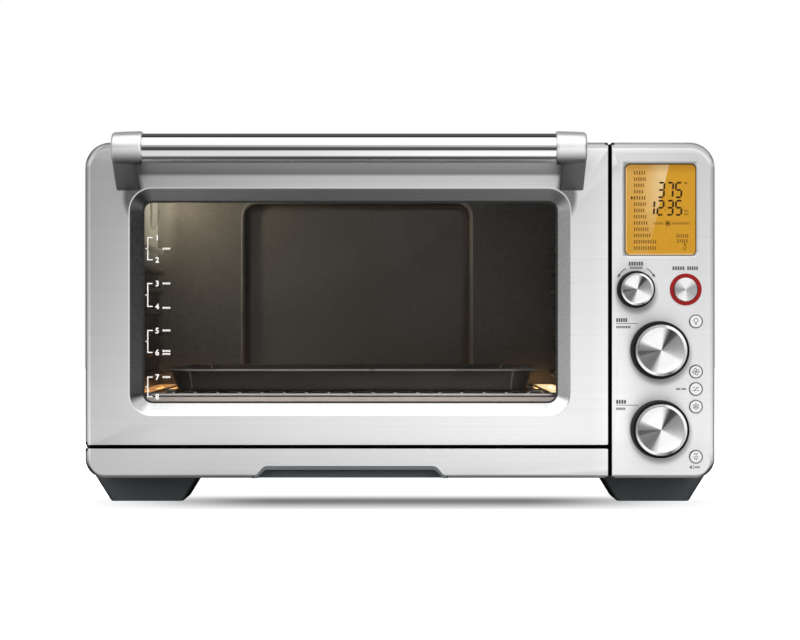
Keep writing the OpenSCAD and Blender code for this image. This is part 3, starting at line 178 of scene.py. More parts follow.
class Graph:
    """A node tree with short calls that add and join its nodes."""

    def __init__(self, tree):
        self.tree = tree

    def add(self, kind, terms=None, **settings):
        """New node with its settings; terms gives an output or a plain value for each input named in it."""
        node = self.tree.nodes.new(kind)
        for key, value in settings.items():
            setattr(node, key, value)
        for key, term in (terms or {}).items():
            self.join(term, node.inputs[key])
        return node

    def join(self, source, target):
        """Link from an output to an input, or a plain value set on the input."""
        if isinstance(source, bpy.types.NodeSocket):
            self.tree.links.new(source, target)
        else:
            target.default_value = source

    def noise(self, vector, scale=1.0, detail=3.0, roughness=0.55):
        """Noise along a vector, about 0 to 1."""
        terms = {"Vector": vector, "Scale": scale, "Detail": detail, "Roughness": roughness}
        return self.add("ShaderNodeTexNoise", terms).outputs["Fac"]

    def grain(self, fine, broad):
        """Fine and broad noise in one, six parts to four."""
        return self.math("ADD", self.product(fine, 0.6), self.product(broad, 0.4))

    def remap(self, value, low, high, start=0.0, end=1.0, smooth=False):
        """A value moved from the range start to end into the range low to high, held at both ends."""
        terms = {"Value": value, "From Min": start, "From Max": end, "To Min": low, "To Max": high}
        kind = "SMOOTHSTEP" if smooth else "LINEAR"
        return self.add("ShaderNodeMapRange", terms, interpolation_type=kind).outputs["Result"]

    def rise(self, value, start, end, smooth=False):
        """Share that climbs from 0 to 1 while a value goes from start to end."""
        return self.remap(value, 0.0, 1.0, start, end, smooth)

    def fall(self, value, start, end, smooth=False):
        """Share that drops from 1 to 0 while a value goes from start to end."""
        return self.remap(value, 1.0, 0.0, start, end, smooth)

    def math(self, operation, first, second=0.0):
        """One arithmetic step; each term is an output or a number."""
        return self.add("ShaderNodeMath", {0: first, 1: second}, operation=operation).outputs["Value"]

    def product(self, first, *others):
        """Product of values; each is an output or a number."""
        for other in others:
            first = self.math("MULTIPLY", first, other)
        return first

    def apart(self, first, second):
        """Distance between two values."""
        return self.math("ABSOLUTE", self.math("SUBTRACT", first, second))

    def ramp(self, value, *stops):
        """Colour ramp through stops of (place, colour)."""
        node = self.add("ShaderNodeValToRGB", {"Fac": value})
        bar = node.color_ramp
        while len(bar.elements) < len(stops):
            bar.elements.new(0.5)
        for element, (place, colour) in zip(bar.elements, stops):
            element.position = place
            element.color = (*colour, 1.0)
        return node.outputs["Color"]

    def tones(self, value, *stops):
        """Grey ramp through stops of (place, tone)."""
        return self.ramp(value, *((place, (tone,) * 3) for place, tone in stops))

    def mix(self, share, first, second, blend="MIX"):
        """Two colours mixed by a share; each term is an output or a plain value."""
        terms = {"Factor": share, 6: first, 7: second}
        return self.add("ShaderNodeMix", terms, data_type="RGBA", blend_type=blend).outputs[2]

    def times(self, first, *others):
        """Product of colours."""
        for other in others:
            first = self.mix(1.0, first, other, "MULTIPLY")
        return first

    def parts(self, vector):
        """The x, y and z of a vector."""
        return self.add("ShaderNodeSeparateXYZ", {"Vector": vector}).outputs

    def walls(self, sideways):
        """Tone of the studio's walls by a direction's x: dim left, bright right, dark at the far right."""
        return self.tones(self.rise(sideways, -1.0, 1.0), (0.0, 0.40), (0.15, 0.36), (0.36, 0.42),
                          (0.44, 0.52), (0.48, 0.72), (0.53, 0.92), (0.60, 1.0), (0.75, 1.0), (0.88, 0.20),
                          (1.0, 0.04))


class Shader(Graph):
    """A material's node tree round one main shader."""

    def __init__(self, name="finish"):
        self.material = bpy.data.materials.new(name)
        self.material.use_nodes = True
        super().__init__(self.material.node_tree)
        self.bsdf = next(n for n in self.tree.nodes if n.type == "BSDF_PRINCIPLED")

    def fix(self, **values):
        """Outputs or plain values for the main shader's sockets; underscores stand for spaces."""
        for key, value in values.items():
            self.join(value, self.bsdf.inputs[key.replace("_", " ")])

    def place(self, scale=(1.0, 1.0, 1.0), centre=(0.0, 0.0, 0.0)):
        """Object coordinates moved to a centre and scaled."""
        shift = tuple(-c * s for c, s in zip(centre, scale))
        spot = self.add("ShaderNodeTexCoord").outputs["Object"]
        terms = {"Vector": spot, "Scale": scale, "Location": shift}
        return self.add("ShaderNodeMapping", terms, vector_type="POINT").outputs["Vector"]

    def facing(self):
        """The x, y and z of the way the surface faces."""
        return self.parts(self.add("ShaderNodeTexCoord").outputs["Normal"])

    def bump(self, height, strength, distance):
        """Small relief from a height, joined to the main shader."""
        terms = {"Height": height, "Strength": strength, "Distance": distance}
        self.fix(Normal=self.add("ShaderNodeBump", terms).outputs["Normal"])

    def mottle(self, cloud, dark, pale, smoothest, roughest):
        """Base colour and roughness that swing together with one noise."""
        self.fix(Base_Color=self.ramp(cloud, (0.3, dark), (0.7, pale)),
                 Roughness=self.remap(cloud, smoothest, roughest, 0.3, 0.7))


def shade(colour, share):
    """A colour made darker or lighter by a share, held below 1."""
    return tuple(min(1.0, c * share) for c in colour)


def brushed(colour, along, roughness=0.30, contrast=0.10, metallic=1.0, spread=0.0, sheen=None,
            edge=1.0, glow=None):
    """Metal with fine straight brush lines along one axis: stretched noise shifts its tone and gloss.

    spread widens the gloss across level brush lines, as brushing does. sheen paints light and shade over the
    whole piece, edge dims what the metal mirrors at a low angle, and glow adds painted light as emission.
    """
    made = Shader()
    fine = made.noise(made.place(BRUSH[along]), 1.0, 2.0)
    broad = made.noise(made.place(tuple(scale * 0.16 for scale in BRUSH[along])), 1.0, 2.0)
    lines = made.grain(fine, broad)
    tone = made.ramp(lines, (0.3, shade(colour, 1.0 - contrast)),
                     (0.7, shade(colour, 1.0 + contrast * 0.5)))
    made.fix(Base_Color=made.times(tone, sheen(made)) if sheen else tone,
             Roughness=made.remap(lines, roughness - 0.05, roughness + 0.07, 0.3, 0.7), Metallic=metallic,
             Specular_Tint=(edge, edge, edge, 1.0))
    made.bump(fine, 0.10, 0.00003)
    if glow:
        made.fix(Emission_Color=tone, Emission_Strength=glow(made))
    if spread:
        way = made.add("ShaderNodeTangent", direction_type="RADIAL", axis="Z")
        made.fix(Tangent=way.outputs["Tangent"], Anisotropic=spread, Anisotropic_Rotation=0.25)
    return made.material


def grained(colour, scale, metallic=0.0, roughness=0.4, contrast=0.15, spread=0.08, relief=0.15,
            depth=0.0001, sheen=None, **fixed):
    """Finish with an even grain: fine noise shifts tone and relief, broad noise adds wear and shifts gloss.

    sheen paints light and shade over the whole piece.
    """
    made = Shader()
    spot = made.place()
    fine = made.noise(spot, scale, 3.0)
    broad = made.noise(spot, 14.0, 3.0)
    both = made.grain(fine, broad)
    tone = made.ramp(both, (0.32, shade(colour, 1.0 - contrast)), (0.68, shade(colour, 1.0 + contrast)))
    made.fix(Base_Color=made.times(tone, sheen(made)) if sheen else tone,
             Roughness=made.remap(broad, roughness - spread, roughness + spread, 0.3, 0.7),
             Metallic=metallic, **fixed)
    made.bump(fine, relief, depth)
    return made.material


def handle_shade(made, axes):
    """Painted shadow of the handle on the door: a band below its tube and a soft spot under each end."""
    bar = middle("handle_tube")
    side = made.apart(axes["X"], bar.x)
    below = made.product(made.fall(side, 0.181, 0.186, True),
                         made.rise(axes["Z"], bar.z - 23.0 * MM, bar.z - 19.5 * MM, True),
                         made.remap(axes["Z"], 1.12, 0.70, bar.z - 20.5 * MM, bar.z - 12.0 * MM))
    drift = made.math("DIVIDE", made.math("SUBTRACT", side, 0.187), 11.0 * MM)
    climb = made.math("DIVIDE", made.math("SUBTRACT", axes["Z"], bar.z - 40.0 * MM), 21.0 * MM)
    spot = made.math("ADD", made.product(drift, drift), made.product(climb, climb))
    return [made.math("SUBTRACT", 1.0, made.product(below, 0.58)),
            made.remap(spot, 0.30, 1.0, 0.3, 1.0, True)]


def seam_shade(made, axes):
    """Painted shade in the seams between door, drawer and panel: their walls are made almost black."""
    deep = made.rise(axes["Y"], FRONT + 0.8 * MM, FRONT + 1.8 * MM)
    seams = ((axes["X"], (DOOR_HIGH.x + PANEL_LOW.x) / 2), (axes["Z"], (DOOR_LOW.z + DRAWER_HIGH.z) / 2))
    standing, lying = (made.fall(made.apart(axis, place), 3.0 * MM, 5.0 * MM) for axis, place in seams)
    lying = made.product(lying, made.fall(axes["X"], PANEL_LOW.x, PANEL_LOW.x + 2.0 * MM))
    return made.remap(made.product(deep, made.math("MAXIMUM", standing, lying)), 1.0, 0.02)


def edge_shades(made, axes):
    """Painted shade and highlights on the rolled edges.

    By the way they face: lower edge, lower corners, rims, flanks and crest.
    """
    way = made.facing()
    turn = made.math("ABSOLUTE", way["X"])
    under = made.product(made.fall(way["Z"], -0.62, -0.12), made.fall(axes["Z"], 0.040, 0.050))
    corner = made.product(made.remap(way["Z"], 1.0, 0.4, -0.28, 0.0), made.fall(axes["Z"], 0.036, 0.046),
                          made.rise(turn, 0.15, 0.42))
    rim = made.product(made.rise(turn, 0.62, 0.80), made.remap(axes["Z"], 0.65, 0.35, 0.05, 0.27))
    flank = made.tones(made.rise(way["X"], -1.0, 1.0), (0.0, 0.70), (0.05, 1.15), (0.22, 1.10), (0.32, 1.50),
                       (0.385, 1.35), (0.42, 1.0), (0.62, 1.0), (0.66, 1.15), (0.78, 1.40), (0.90, 1.60),
                       (1.0, 1.20))
    crest = made.tones(way["Z"], (0.02, 1.0), (0.06, 1.35), (0.16, 1.30), (0.26, 0.82), (0.80, 0.86),
                       (1.0, 1.30))
    crest = made.product(made.math("SUBTRACT", crest, 1.0), made.rise(axes["Z"], 0.27, 0.28))
    return [made.remap(under, 1.0, 0.36), made.remap(corner, 1.0, 0.10), made.math("SUBTRACT", 1.0, rim),
            flank, made.math("ADD", 1.0, crest)]


def recess_shade(made, axes):
    """Painted shade in the recess round the display, narrow along its lower side."""
    beside = made.math("MAXIMUM", made.math("SUBTRACT", LENS_LOW.x, axes["X"]),
                       made.math("SUBTRACT", axes["X"], LENS_HIGH.x - 1.3 * MM))
    beyond = made.math("MAXIMUM", made.math("SUBTRACT", axes["Z"], LENS_HIGH.z),
                       made.product(made.math("SUBTRACT", LENS_LOW.z, axes["Z"]), 3.0))
    return made.remap(made.math("MAXIMUM", beside, beyond), 0.40, 1.0, 0.0, 2.8 * MM, True)


def dial_shade(made, node):
    """Painted soft round shadow of a dial, a little to the right of it and below."""
    low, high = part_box(node)
    radius = (high.x - low.x) / 2
    heart = middle(node) + Vector((1.2 * MM, 0.0, -3.6 * MM))
    away = made.add("ShaderNodeVectorMath", {0: made.place((1.0, 0.0, 1.0), heart)}, operation="LENGTH")
    return made.remap(away.outputs["Value"], 0.42, 1.0, radius - 1.5 * MM, radius + 5.0 * MM, True)


def front_sheen(made):
    """Painted reflection on the front sheets, dim at the upper left and light below, times each painted
    shade.
    """
    axes = made.parts(made.place())
    left, right = CAD_BOX[0][0], CAD_BOX[1][0]
    across = made.tones(made.rise(axes["X"], left, right), (0.02, 0.65), (0.12, 0.76), (0.34, 0.91),
                        (0.69, 0.95), (0.80, 0.91), (0.84, 0.99), (0.90, 0.93), (0.98, 0.83))
    upward = made.tones(made.rise(axes["Z"], 0.0, 0.32), (0.165, 0.95), (0.18, 1.0), (0.22, 1.0),
                        (0.55, 0.86), (0.82, 0.77), (0.94, 0.73))
    tilt = made.product(made.fall(axes["X"], left, left + 0.11),
                        made.remap(axes["Z"], 0.13, -0.08, 0.06, 0.25))
    return made.times(across, *handle_shade(made, axes), seam_shade(made, axes), *edge_shades(made, axes),
                      recess_shade(made, axes), upward, *(dial_shade(made, node) for node in DIALS),
                      made.math("ADD", 1.0, tilt))


def front_steel():
    """Brushed steel of the door, the drawer and the panel, lines level, with painted light and shade on it.
    """
    return brushed(shade(colours().steel, 1.14), "X", roughness=0.40, contrast=0.07, metallic=0.94,
                   spread=0.7, sheen=front_sheen, edge=0.25)


def slope_sheen(made):
    """Painted reflection of a sloped frame by the way each side faces: left and top dim, bottom light."""
    way = made.facing()
    level = made.tones(made.rise(way["X"], -0.4, 0.4), (0.0, 0.90), (0.5, 1.0), (1.0, 0.22))
    upward = made.tones(made.rise(way["Z"], -0.4, 0.4), (0.0, 0.19), (0.5, 0.66), (1.0, 1.3))
    return made.times(level, upward)


def slope_glow(made):
    """Painted light: a weak glow on a sloped frame's lower side, which faces up to the light."""
    way = made.facing()
    return made.remap(way["Z"], 0.0, 0.26, 0.12, 0.36)


def slope_steel():
    """Smoother pressed steel of the window's sloped frame, with painted reflection and painted light."""
    return brushed(shade(colours().steel, 1.16), "X", roughness=0.24, contrast=0.05, metallic=0.96,
                   sheen=slope_sheen, glow=slope_glow)


def lip_sheen(made):
    """Painted shade of a rolled lip: dim where it faces down."""
    way = made.facing()
    return made.tones(made.rise(way["Z"], -0.4, 0.4), (0.0, 0.50), (0.5, 0.95), (1.0, 1.0))


def lip_steel():
    """Bright rolled lip where the front turns into a sloped frame: a painted highlight line."""
    return brushed(shade(colours().steel, 1.10), "X", roughness=0.30, contrast=0.04, metallic=0.9,
                   sheen=lip_sheen)


def casing_steel():
    """Brushed steel of the casing, lines from front to back."""
    return brushed(colours().steel, "Y", roughness=0.36, contrast=0.08, metallic=0.92)


def polished_steel():
    """Drawn steel tube of the handle: nearly a mirror, with drawing lines and painted reflection bands along
    it.
    """
    made = Shader()
    axes = made.parts(made.place(centre=middle("handle_tube")))
    rise = made.rise(axes["Z"], -12.5 * MM, 12.5 * MM)
    lines = made.noise(made.place(BRUSH["X"]), 1.0, 2.0)
    # Painted reflection: light and dark bands by height round the tube.
    band = made.tones(rise, (0.0, 0.50), (0.03, 0.95), (0.085, 0.95), (0.105, 0.16), (0.18, 0.12),
                      (0.205, 0.65), (0.25, 0.86), (0.36, 0.79), (0.388, 0.55), (0.402, 0.07), (0.455, 0.06),
                      (0.485, 0.12), (0.51, 0.40), (0.545, 0.62), (0.60, 0.92), (0.828, 0.92), (0.845, 0.05),
                      (0.875, 0.08), (0.90, 0.32), (1.0, 0.45))
    made.fix(Base_Color=made.times(band, made.tones(lines, (0.3, 0.96), (0.7, 1.0))))
    gloss = made.remap(lines, 0.06, 0.12, 0.3, 0.7)
    made.fix(Roughness=made.math("ADD", gloss, made.remap(rise, 0.30, 0.0, 0.08, 0.15)), Metallic=1.0,
             Specular_Tint=(0.55, 0.55, 0.55, 1.0))
    return made.material


def cap_sheen(made):
    """Painted light and shade of the handle's caps: light above, falling to dark grey below."""
    way = made.facing()
    return made.tones(made.rise(way["Z"], -1.0, 1.0), (0.05, 0.10), (0.14, 0.18), (0.25, 0.42), (0.38, 0.76),
                      (0.48, 1.0), (1.0, 1.0))


def cap_aluminium():
    """Aluminium of the handle's caps, with painted light and shade."""
    return grained(colours().aluminium, 2600.0, metallic=0.95, roughness=0.34, contrast=0.03,
                   relief=0.08, depth=0.00004, sheen=cap_sheen)


def shaded_arm_aluminium():
    """Aluminium of the handle's arms, darkened as painted shade."""
    return grained(shade(colours().aluminium, 0.17), 2600.0, metallic=0.9, roughness=0.40,
                   contrast=0.03, relief=0.08, depth=0.00004)


def dial_side():
    """Near-black side of a dial, with hardly any gloss."""
    return grained((0.008, 0.008, 0.009), 900.0, roughness=0.6, contrast=0.2, Specular_IOR_Level=0.04)


# Painted reflections round a spun face, a dial's chamfer and the start button: tone at each share of a whole
# turn.
SPUN = ((0.0, 0.40), (0.04, 0.32), (0.09, 0.28), (0.118, 0.25), (0.131, 0.09), (0.158, 0.05), (0.183, 0.06),
        (0.20, 0.24), (0.222, 0.70), (0.242, 1.0), (0.425, 1.0), (0.448, 0.50), (0.465, 0.30), (0.497, 0.23),
        (0.507, 0.10), (0.533, 0.11), (0.548, 0.22), (0.63, 0.16), (0.668, 0.20), (0.70, 0.62), (0.73, 0.93),
        (0.80, 0.96), (0.91, 0.95), (0.945, 0.60), (1.0, 0.40))
RIM = ((0.0, 1.0), (0.20, 1.0), (0.23, 0.50), (0.30, 0.42), (0.48, 0.28), (0.52, 0.40), (0.56, 0.92),
       (0.70, 0.95), (0.74, 0.45), (0.81, 0.12), (0.84, 0.45), (0.88, 0.90), (1.0, 1.0))
SOFT = ((0.0, 0.42), (0.06, 0.40), (0.12, 0.72), (0.18, 0.95), (0.34, 0.92), (0.42, 0.55), (0.50, 0.32),
        (0.56, 0.40), (0.62, 0.85), (0.74, 1.0), (0.80, 0.62), (0.90, 0.45), (1.0, 0.42))


def dial_rim():
    """Turned bright chamfer round a dial's face, with painted reflections."""
    return turned_metal(0.92, 0.24, RIM)


def dial_face():
    """Spun face of a dial, with painted reflections."""
    return turned_metal(0.95, 0.30, SPUN)


def start_face():
    """Spun face of the start button, with softer sectors of painted reflection."""
    return turned_metal(0.92, 0.30, SOFT)


def turned_metal(tone, roughness, sectors):
    """Metal spun about an axis: fine rings by radius, and painted reflections that swing round the turn as
    on spun faces.

    The UV map holds the turn in u and the distance from the axis in v; sectors lists the painted tone by
    turn.
    """
    made = Shader()
    around = made.parts(made.add("ShaderNodeUVMap", uv_map="spin").outputs["UV"])
    terms = {"W": around["Y"], "Scale": 7000.0, "Detail": 2.0}
    rings = made.add("ShaderNodeTexNoise", terms, noise_dimensions="1D").outputs["Fac"]
    swing = made.tones(made.math("FRACT", around["X"]),
                       *((place, tone * share) for place, share in sectors))
    made.fix(Base_Color=made.times(swing, made.tones(rings, (0.3, 0.92), (0.7, 1.0))),
             Roughness=made.remap(rings, roughness - 0.04, roughness + 0.06, 0.3, 0.7), Metallic=0.85)
    return made.material


def key_steel():
    """Satin grey cap of the small buttons."""
    return grained(shade(colours().steel, 0.98), 2400.0, metallic=0.85, roughness=0.38,
                   contrast=0.03, relief=0.06, depth=0.00003)


def slate_plastic():
    """Moulded dark plastic with a fine spark-eroded grain, and painted shade by the way it faces.

    The inner ends of the feet are darkest and their outer ends dim.
    """
    made = Shader()
    spot = made.place()
    fine = made.noise(spot, 1500.0, 3.0)
    way = made.facing()
    inward = made.product(made.parts(spot)["X"], way["X"])
    grain = made.ramp(fine, (0.32, shade(colours().slate, 0.92)), (0.68, shade(colours().slate, 1.08)))
    # Painted shade by the way a face turns from the oven's middle: darkest facing in, dim facing out.
    ends = made.tones(made.rise(inward, -0.2, 0.2), (0.10, 0.25), (0.35, 0.60), (0.5, 0.80), (0.62, 0.50),
                      (1.0, 0.45))
    made.fix(Base_Color=made.times(grain, ends), Roughness=made.remap(fine, 0.46, 0.56, 0.3, 0.7),
             Specular_IOR_Level=0.0)
    made.bump(fine, 0.2, 0.00008)
    return made.material


def black_rubber():
    """Rubber of the glass seal and the foot pads."""
    return grained((0.012, 0.012, 0.012), 1200.0, roughness=0.62, contrast=0.2, relief=0.3,
                   depth=0.00008)


def dark_plastic():
    """Black moulded plastic of the hidden carriers."""
    return grained((0.030, 0.030, 0.032), 1100.0, roughness=0.5, contrast=0.15)


def mill_steel():
    """Plain zinc-coated sheet of the chassis, with soft spangle."""
    made = Shader()
    spot = made.place()
    cells = made.add("ShaderNodeTexVoronoi", {"Vector": spot, "Scale": 120.0})
    patch = made.parts(cells.outputs["Color"])["X"]
    made.fix(Base_Color=made.ramp(patch, (0.0, (0.50, 0.51, 0.52)), (1.0, (0.64, 0.65, 0.66))),
             Roughness=made.remap(patch, 0.34, 0.50), Metallic=0.95)
    made.bump(made.noise(spot, 500.0), 0.06, 0.00005)
    return made.material


def liner_coat():
    """Dark pebbled coat of the cavity, with painted lamp light as a weak warm glow on the upper left wall.
    """
    made = Shader()
    spot = made.place()
    axes = made.parts(spot)
    fine = made.noise(spot, 420.0, 3.0)
    broad = made.noise(spot, 14.0, 3.0)
    both = made.grain(fine, broad)
    made.fix(Base_Color=made.ramp(both, (0.32, shade(colours().liner, 0.84)),
                                  (0.68, shade(colours().liner, 1.16))),
             Roughness=made.remap(broad, 0.31, 0.45, 0.3, 0.7))
    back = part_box("cavity_back")[0].y
    # Painted lamp light: a weak warm glow on the upper part of the left wall, fading at the front and the
    # back.
    lit = made.product(made.fall(axes["X"], CAVITY_X[0] + 0.5 * MM, CAVITY_X[0] + 14.0 * MM, True),
                       made.remap(axes["Z"], 0.0, 0.62, 0.20, 0.277, True),
                       made.remap(axes["Y"], 0.2, 1.0, -0.05, 0.10),
                       made.remap(axes["Y"], 1.0, 0.30, back - 12.0 * MM, back))
    made.fix(Emission_Strength=lit, Metallic=0.55, Emission_Color=(1.0, 0.93, 0.68, 1.0))
    made.bump(fine, 0.16, 0.00012)
    return made.material


def highlit_lip_coat():
    """Coat of the back wall recess's rolled lip, lighter than the liner: a painted highlight where the lip
    meets the light.
    """
    return grained(shade(colours().liner, 3.2), 420.0, metallic=0.55, roughness=0.34, contrast=0.10)


def chrome_wire():
    """Bright chrome of the rack and the grilles, heat-tinted; the rack's ends carry a painted glow for the
    lit tubes.
    """
    made = Shader()
    spot = made.place()
    axes = made.parts(spot)
    broad = made.noise(spot, 18.0, 3.0)
    made.fix(Base_Color=made.ramp(broad, (0.35, (0.74, 0.70, 0.67)), (0.65, (0.88, 0.86, 0.84))),
             Roughness=made.remap(broad, 0.12, 0.24, 0.3, 0.7))
    # Painted reflection of the lit tubes: a warm glow low on the rack's ends, stronger at the right and the
    # back.
    side = made.apart(axes["X"], sum(CAVITY_X) / 2)
    half = (CAVITY_X[1] - CAVITY_X[0]) / 2
    hot = made.product(made.rise(side, half - 17.0 * MM, half - 11.0 * MM),
                       made.rise(axes["Y"], -0.09, -0.03), made.remap(axes["X"], 0.66, 1.5, *CAVITY_X),
                       made.fall(axes["Z"], 0.11, 0.115))
    made.fix(Emission_Strength=hot)
    glow = made.ramp(made.rise(axes["X"], *CAVITY_X), (0.2, (1.0, 0.45, 0.13)), (0.8, (1.0, 0.74, 0.40)))
    made.fix(Emission_Color=glow, Metallic=1.0)
    return made.material


def apron_steel():
    """Duller plated strip under the rack's front bar, lifted by a weak emission of painted light."""
    return grained((0.70, 0.62, 0.57), 200.0, roughness=0.5, contrast=0.06,
                   Emission_Color=(0.70, 0.60, 0.54, 1.0), Emission_Strength=0.25)


def frame_shade_black():
    """Near-black finish of the frame behind the door and the panel: painted shade that darkens the seams."""
    return grained((0.006, 0.006, 0.006), 600.0, roughness=0.6, contrast=0.2, Specular_IOR_Level=0.1)


def screw_zinc():
    """Zinc-plated fasteners."""
    return grained((0.58, 0.58, 0.57), 900.0, metallic=1.0, roughness=0.32, contrast=0.10)


def quartz_tube():
    """Frosted quartz: grey-white, with a hot orange core in the lower rear tube."""
    made = Shader()
    spot = made.place()
    axes = made.parts(spot)
    terms = {"Vector": spot, "Scale": 90.0}
    coil = made.add("ShaderNodeTexWave", terms, bands_direction="X").outputs["Fac"]
    made.fix(Base_Color=made.ramp(coil, (0.0, (0.52, 0.50, 0.47)), (1.0, (0.70, 0.68, 0.64))))
    glow = made.product(made.fall(axes["Z"], 0.11, 0.15), made.rise(axes["Y"], 0.10, 0.14),
                        made.remap(coil, 0.62, 0.80))
    made.fix(Emission_Strength=glow, Roughness=0.35, Emission_Color=(1.0, 0.46, 0.14, 1.0))
    return made.material


def ceramic():
    """Off-white glazed ceramic of the tube ends."""
    return grained((0.72, 0.69, 0.62), 300.0, roughness=0.42, contrast=0.06, relief=0.05)


def lamp_glass():
    """Warm lit glass of the oven lamp."""
    made = Shader()
    swirl = made.noise(made.place(), 160.0)
    made.mottle(swirl, (0.85, 0.80, 0.68), (0.95, 0.92, 0.82), 0.12, 0.28)
    made.fix(Emission_Color=(1.0, 0.82, 0.55, 1.0), Emission_Strength=0.8)
    return made.material


def pan_sheen(made):
    """Painted light of the pan: lighter towards the right, with a painted highlight line down each rounded
    corner.
    """
    way = made.facing()
    side = made.rise(made.math("ABSOLUTE", way["X"]), 0.0, 0.5)
    # Painted highlight lines where the rounded corners turn.
    lines = made.tones(side, (0.0, 0.28), (0.26, 0.28), (0.34, 1.0), (0.42, 0.28))
    return made.times(lines, made.remap(made.parts(made.place())["X"], 0.75, 1.6, *CAVITY_X))


def pan_enamel():
    """Dark enamel with a soft gloss, under painted light."""
    return grained(shade(colours().enamel, 14.0), 60.0, roughness=0.46, contrast=0.05, spread=0.02,
                   relief=0.01, depth=0.00002, sheen=pan_sheen, Specular_IOR_Level=0.15)


def rim_highlight_enamel():
    """Bright metallic finish of the pan's rolled edge: a painted highlight along the rim."""
    return grained((0.80, 0.78, 0.75), 60.0, metallic=0.8, roughness=0.26, contrast=0.12)


def window_glass():
    """Thin dark-tinted pane: mostly clear, with faint smears in its gloss."""
    made = Shader()
    smear = made.noise(made.place((6.0, 6.0, 14.0)), 1.0, 3.0)
    made.mottle(smear, (0.012, 0.012, 0.012), (0.022, 0.021, 0.020), 0.02, 0.07)
    made.fix(Alpha=0.16, IOR=1.5, Specular_IOR_Level=0.0)
    return made.material


def lens_glass():
    """Clear lens over the display."""
    made = Shader()
    smear = made.noise(made.place(), 40.0, 2.0)
    made.mottle(smear, (0.020, 0.018, 0.014), (0.030, 0.027, 0.022), 0.03, 0.08)
    made.fix(Alpha=0.03, IOR=1.3)
    return made.material


def display_amber():
    """Lit amber face with a faint cell grid, and painted light on it.

    A slanted pale gleam is a painted reflection, the dim upper edge is painted shade, and the pale left and
    lower edges are painted highlights.
    """
    made = Shader()
    axes = made.parts(made.place(centre=LENS_CENTRE))
    wide, half = (LENS_HIGH.x - LENS_LOW.x) / 2, (LENS_HIGH.z - LENS_LOW.z) / 2
    amber = colours().amber
    slant = made.math("SUBTRACT", made.product(axes["Z"], 0.233), axes["X"])
    # Painted reflection: a slanted pale gleam across the face.
    gleam = made.product(made.rise(slant, 0.0013, 0.0019),
                         made.remap(slant, 0.75, 0.16, 0.0016, 0.026, True),
                         made.remap(axes["Z"], 0.12, 1.0, -0.030, 0.030, True))
    face = made.mix(gleam, (*amber, 1.0), (0.86, 0.68, 0.40, 1.0))
    # Painted shade along the upper edge.
    dim = made.remap(axes["Z"], 0.0, 0.55, half - 0.010, half - 0.001, True)
    face = made.mix(dim, face, (0.50, 0.38, 0.30, 1.0), "MULTIPLY")
    # Painted highlights along the left and lower edges.
    rim = made.math("MAXIMUM", made.remap(axes["X"], 0.75, 0.0, 1.0 * MM - wide, 2.0 * MM - wide),
                    made.remap(axes["Z"], 0.65, 0.0, 1.0 * MM - half, 2.0 * MM - half))
    face = made.mix(rim, face, (0.98, 0.74, 0.42, 1.0))
    ends = (made.rise(made.math("ABSOLUTE", axes[axis]), reach - 0.8 * MM, reach - 0.2 * MM)
            for axis, reach in (("X", wide), ("Z", half)))
    border = made.ramp(made.math("MAXIMUM", *ends), (0.0, (1.0, 1.0, 1.0)), (1.0, (0.22, 0.14, 0.10)))
    made.fix(Emission_Color=made.times(face, border))
    grid = made.noise(made.place((900.0, 900.0, 900.0)), 1.0, 1.0)
    made.fix(Base_Color=made.ramp(grid, (0.3, shade(amber, 0.08)), (0.7, shade(amber, 0.12))),
             Emission_Strength=made.remap(grid, 0.92, 1.0, 0.3, 0.7), Roughness=0.6,
             Specular_IOR_Level=0.05)
    return made.material


def start_ring():
    """Lit red light guide round the start button."""
    made = Shader()
    cloud = made.noise(made.place(), 260.0)
    red = colours().ring
    made.mottle(cloud, shade(red, 0.85), shade(red, 1.1), 0.22, 0.34)
    made.fix(Emission_Color=(*red, 1.0), Emission_Strength=0.10, Specular_IOR_Level=0.15)
    return made.material


def magnet_ferrite():
    """Nickel-plated magnet discs."""
    return grained((0.45, 0.44, 0.42), 600.0, metallic=0.9, roughness=0.3)


def board_green():
    """Circuit board: solder mask with a maze of paler tracks."""
    made = Shader()
    spot = made.place()
    turn = made.add("ShaderNodeMapping", {"Vector": spot, "Rotation": (math.pi / 2, 0.0, 0.0)})
    bricks = made.add("ShaderNodeTexBrick", {
        "Vector": turn.outputs["Vector"], "Scale": 160.0, "Color1": (0.012, 0.085, 0.030, 1.0),
        "Color2": (0.016, 0.110, 0.040, 1.0), "Mortar": (0.045, 0.170, 0.060, 1.0)})
    made.fix(Base_Color=bricks.outputs["Color"],
             Roughness=made.remap(made.noise(spot, 300.0), 0.3, 0.45, 0.3, 0.7))
    made.bump(bricks.outputs["Fac"], 0.2, 0.00008)
    return made.material


def motor_case():
    """Painted motor can with stacked-plate lines."""
    return brushed((0.16, 0.16, 0.17), "Y", roughness=0.42, contrast=0.3)


def panel_ink():
    """Dark ink of the control panel's marks."""
    return grained(colours().print_grey, 1500.0, roughness=0.55, contrast=0.2, relief=0.05)


def fine_ink():
    """Greyer ink of the thin rules and rings on the control panel."""
    return grained(shade(colours().print_grey, 2.0), 1500.0, roughness=0.55, contrast=0.2, relief=0.05)


def list_ink():
    """Half-lit segments of the display's list."""
    return grained((0.15, 0.072, 0.012), 1500.0, roughness=0.6, contrast=0.2, relief=0.04,
                   Specular_IOR_Level=0.1)


def digit_ink():
    """Dark segments of the display."""
    return grained((0.026, 0.012, 0.003), 1500.0, roughness=0.6, contrast=0.2, relief=0.04,
                   Specular_IOR_Level=0.1)


def glass_ink():
    """White baked ink of the rack marks."""
    return grained(colours().print_white, 1500.0, roughness=0.5, contrast=0.06, relief=0.05)


FINISHES = {}


def finish(maker):
    """The material that a finish function makes, made once and named after it."""
    name = maker.__name__
    if name not in FINISHES:
        FINISHES[name] = maker()
        FINISHES[name].name = name
    return FINISHES[name]


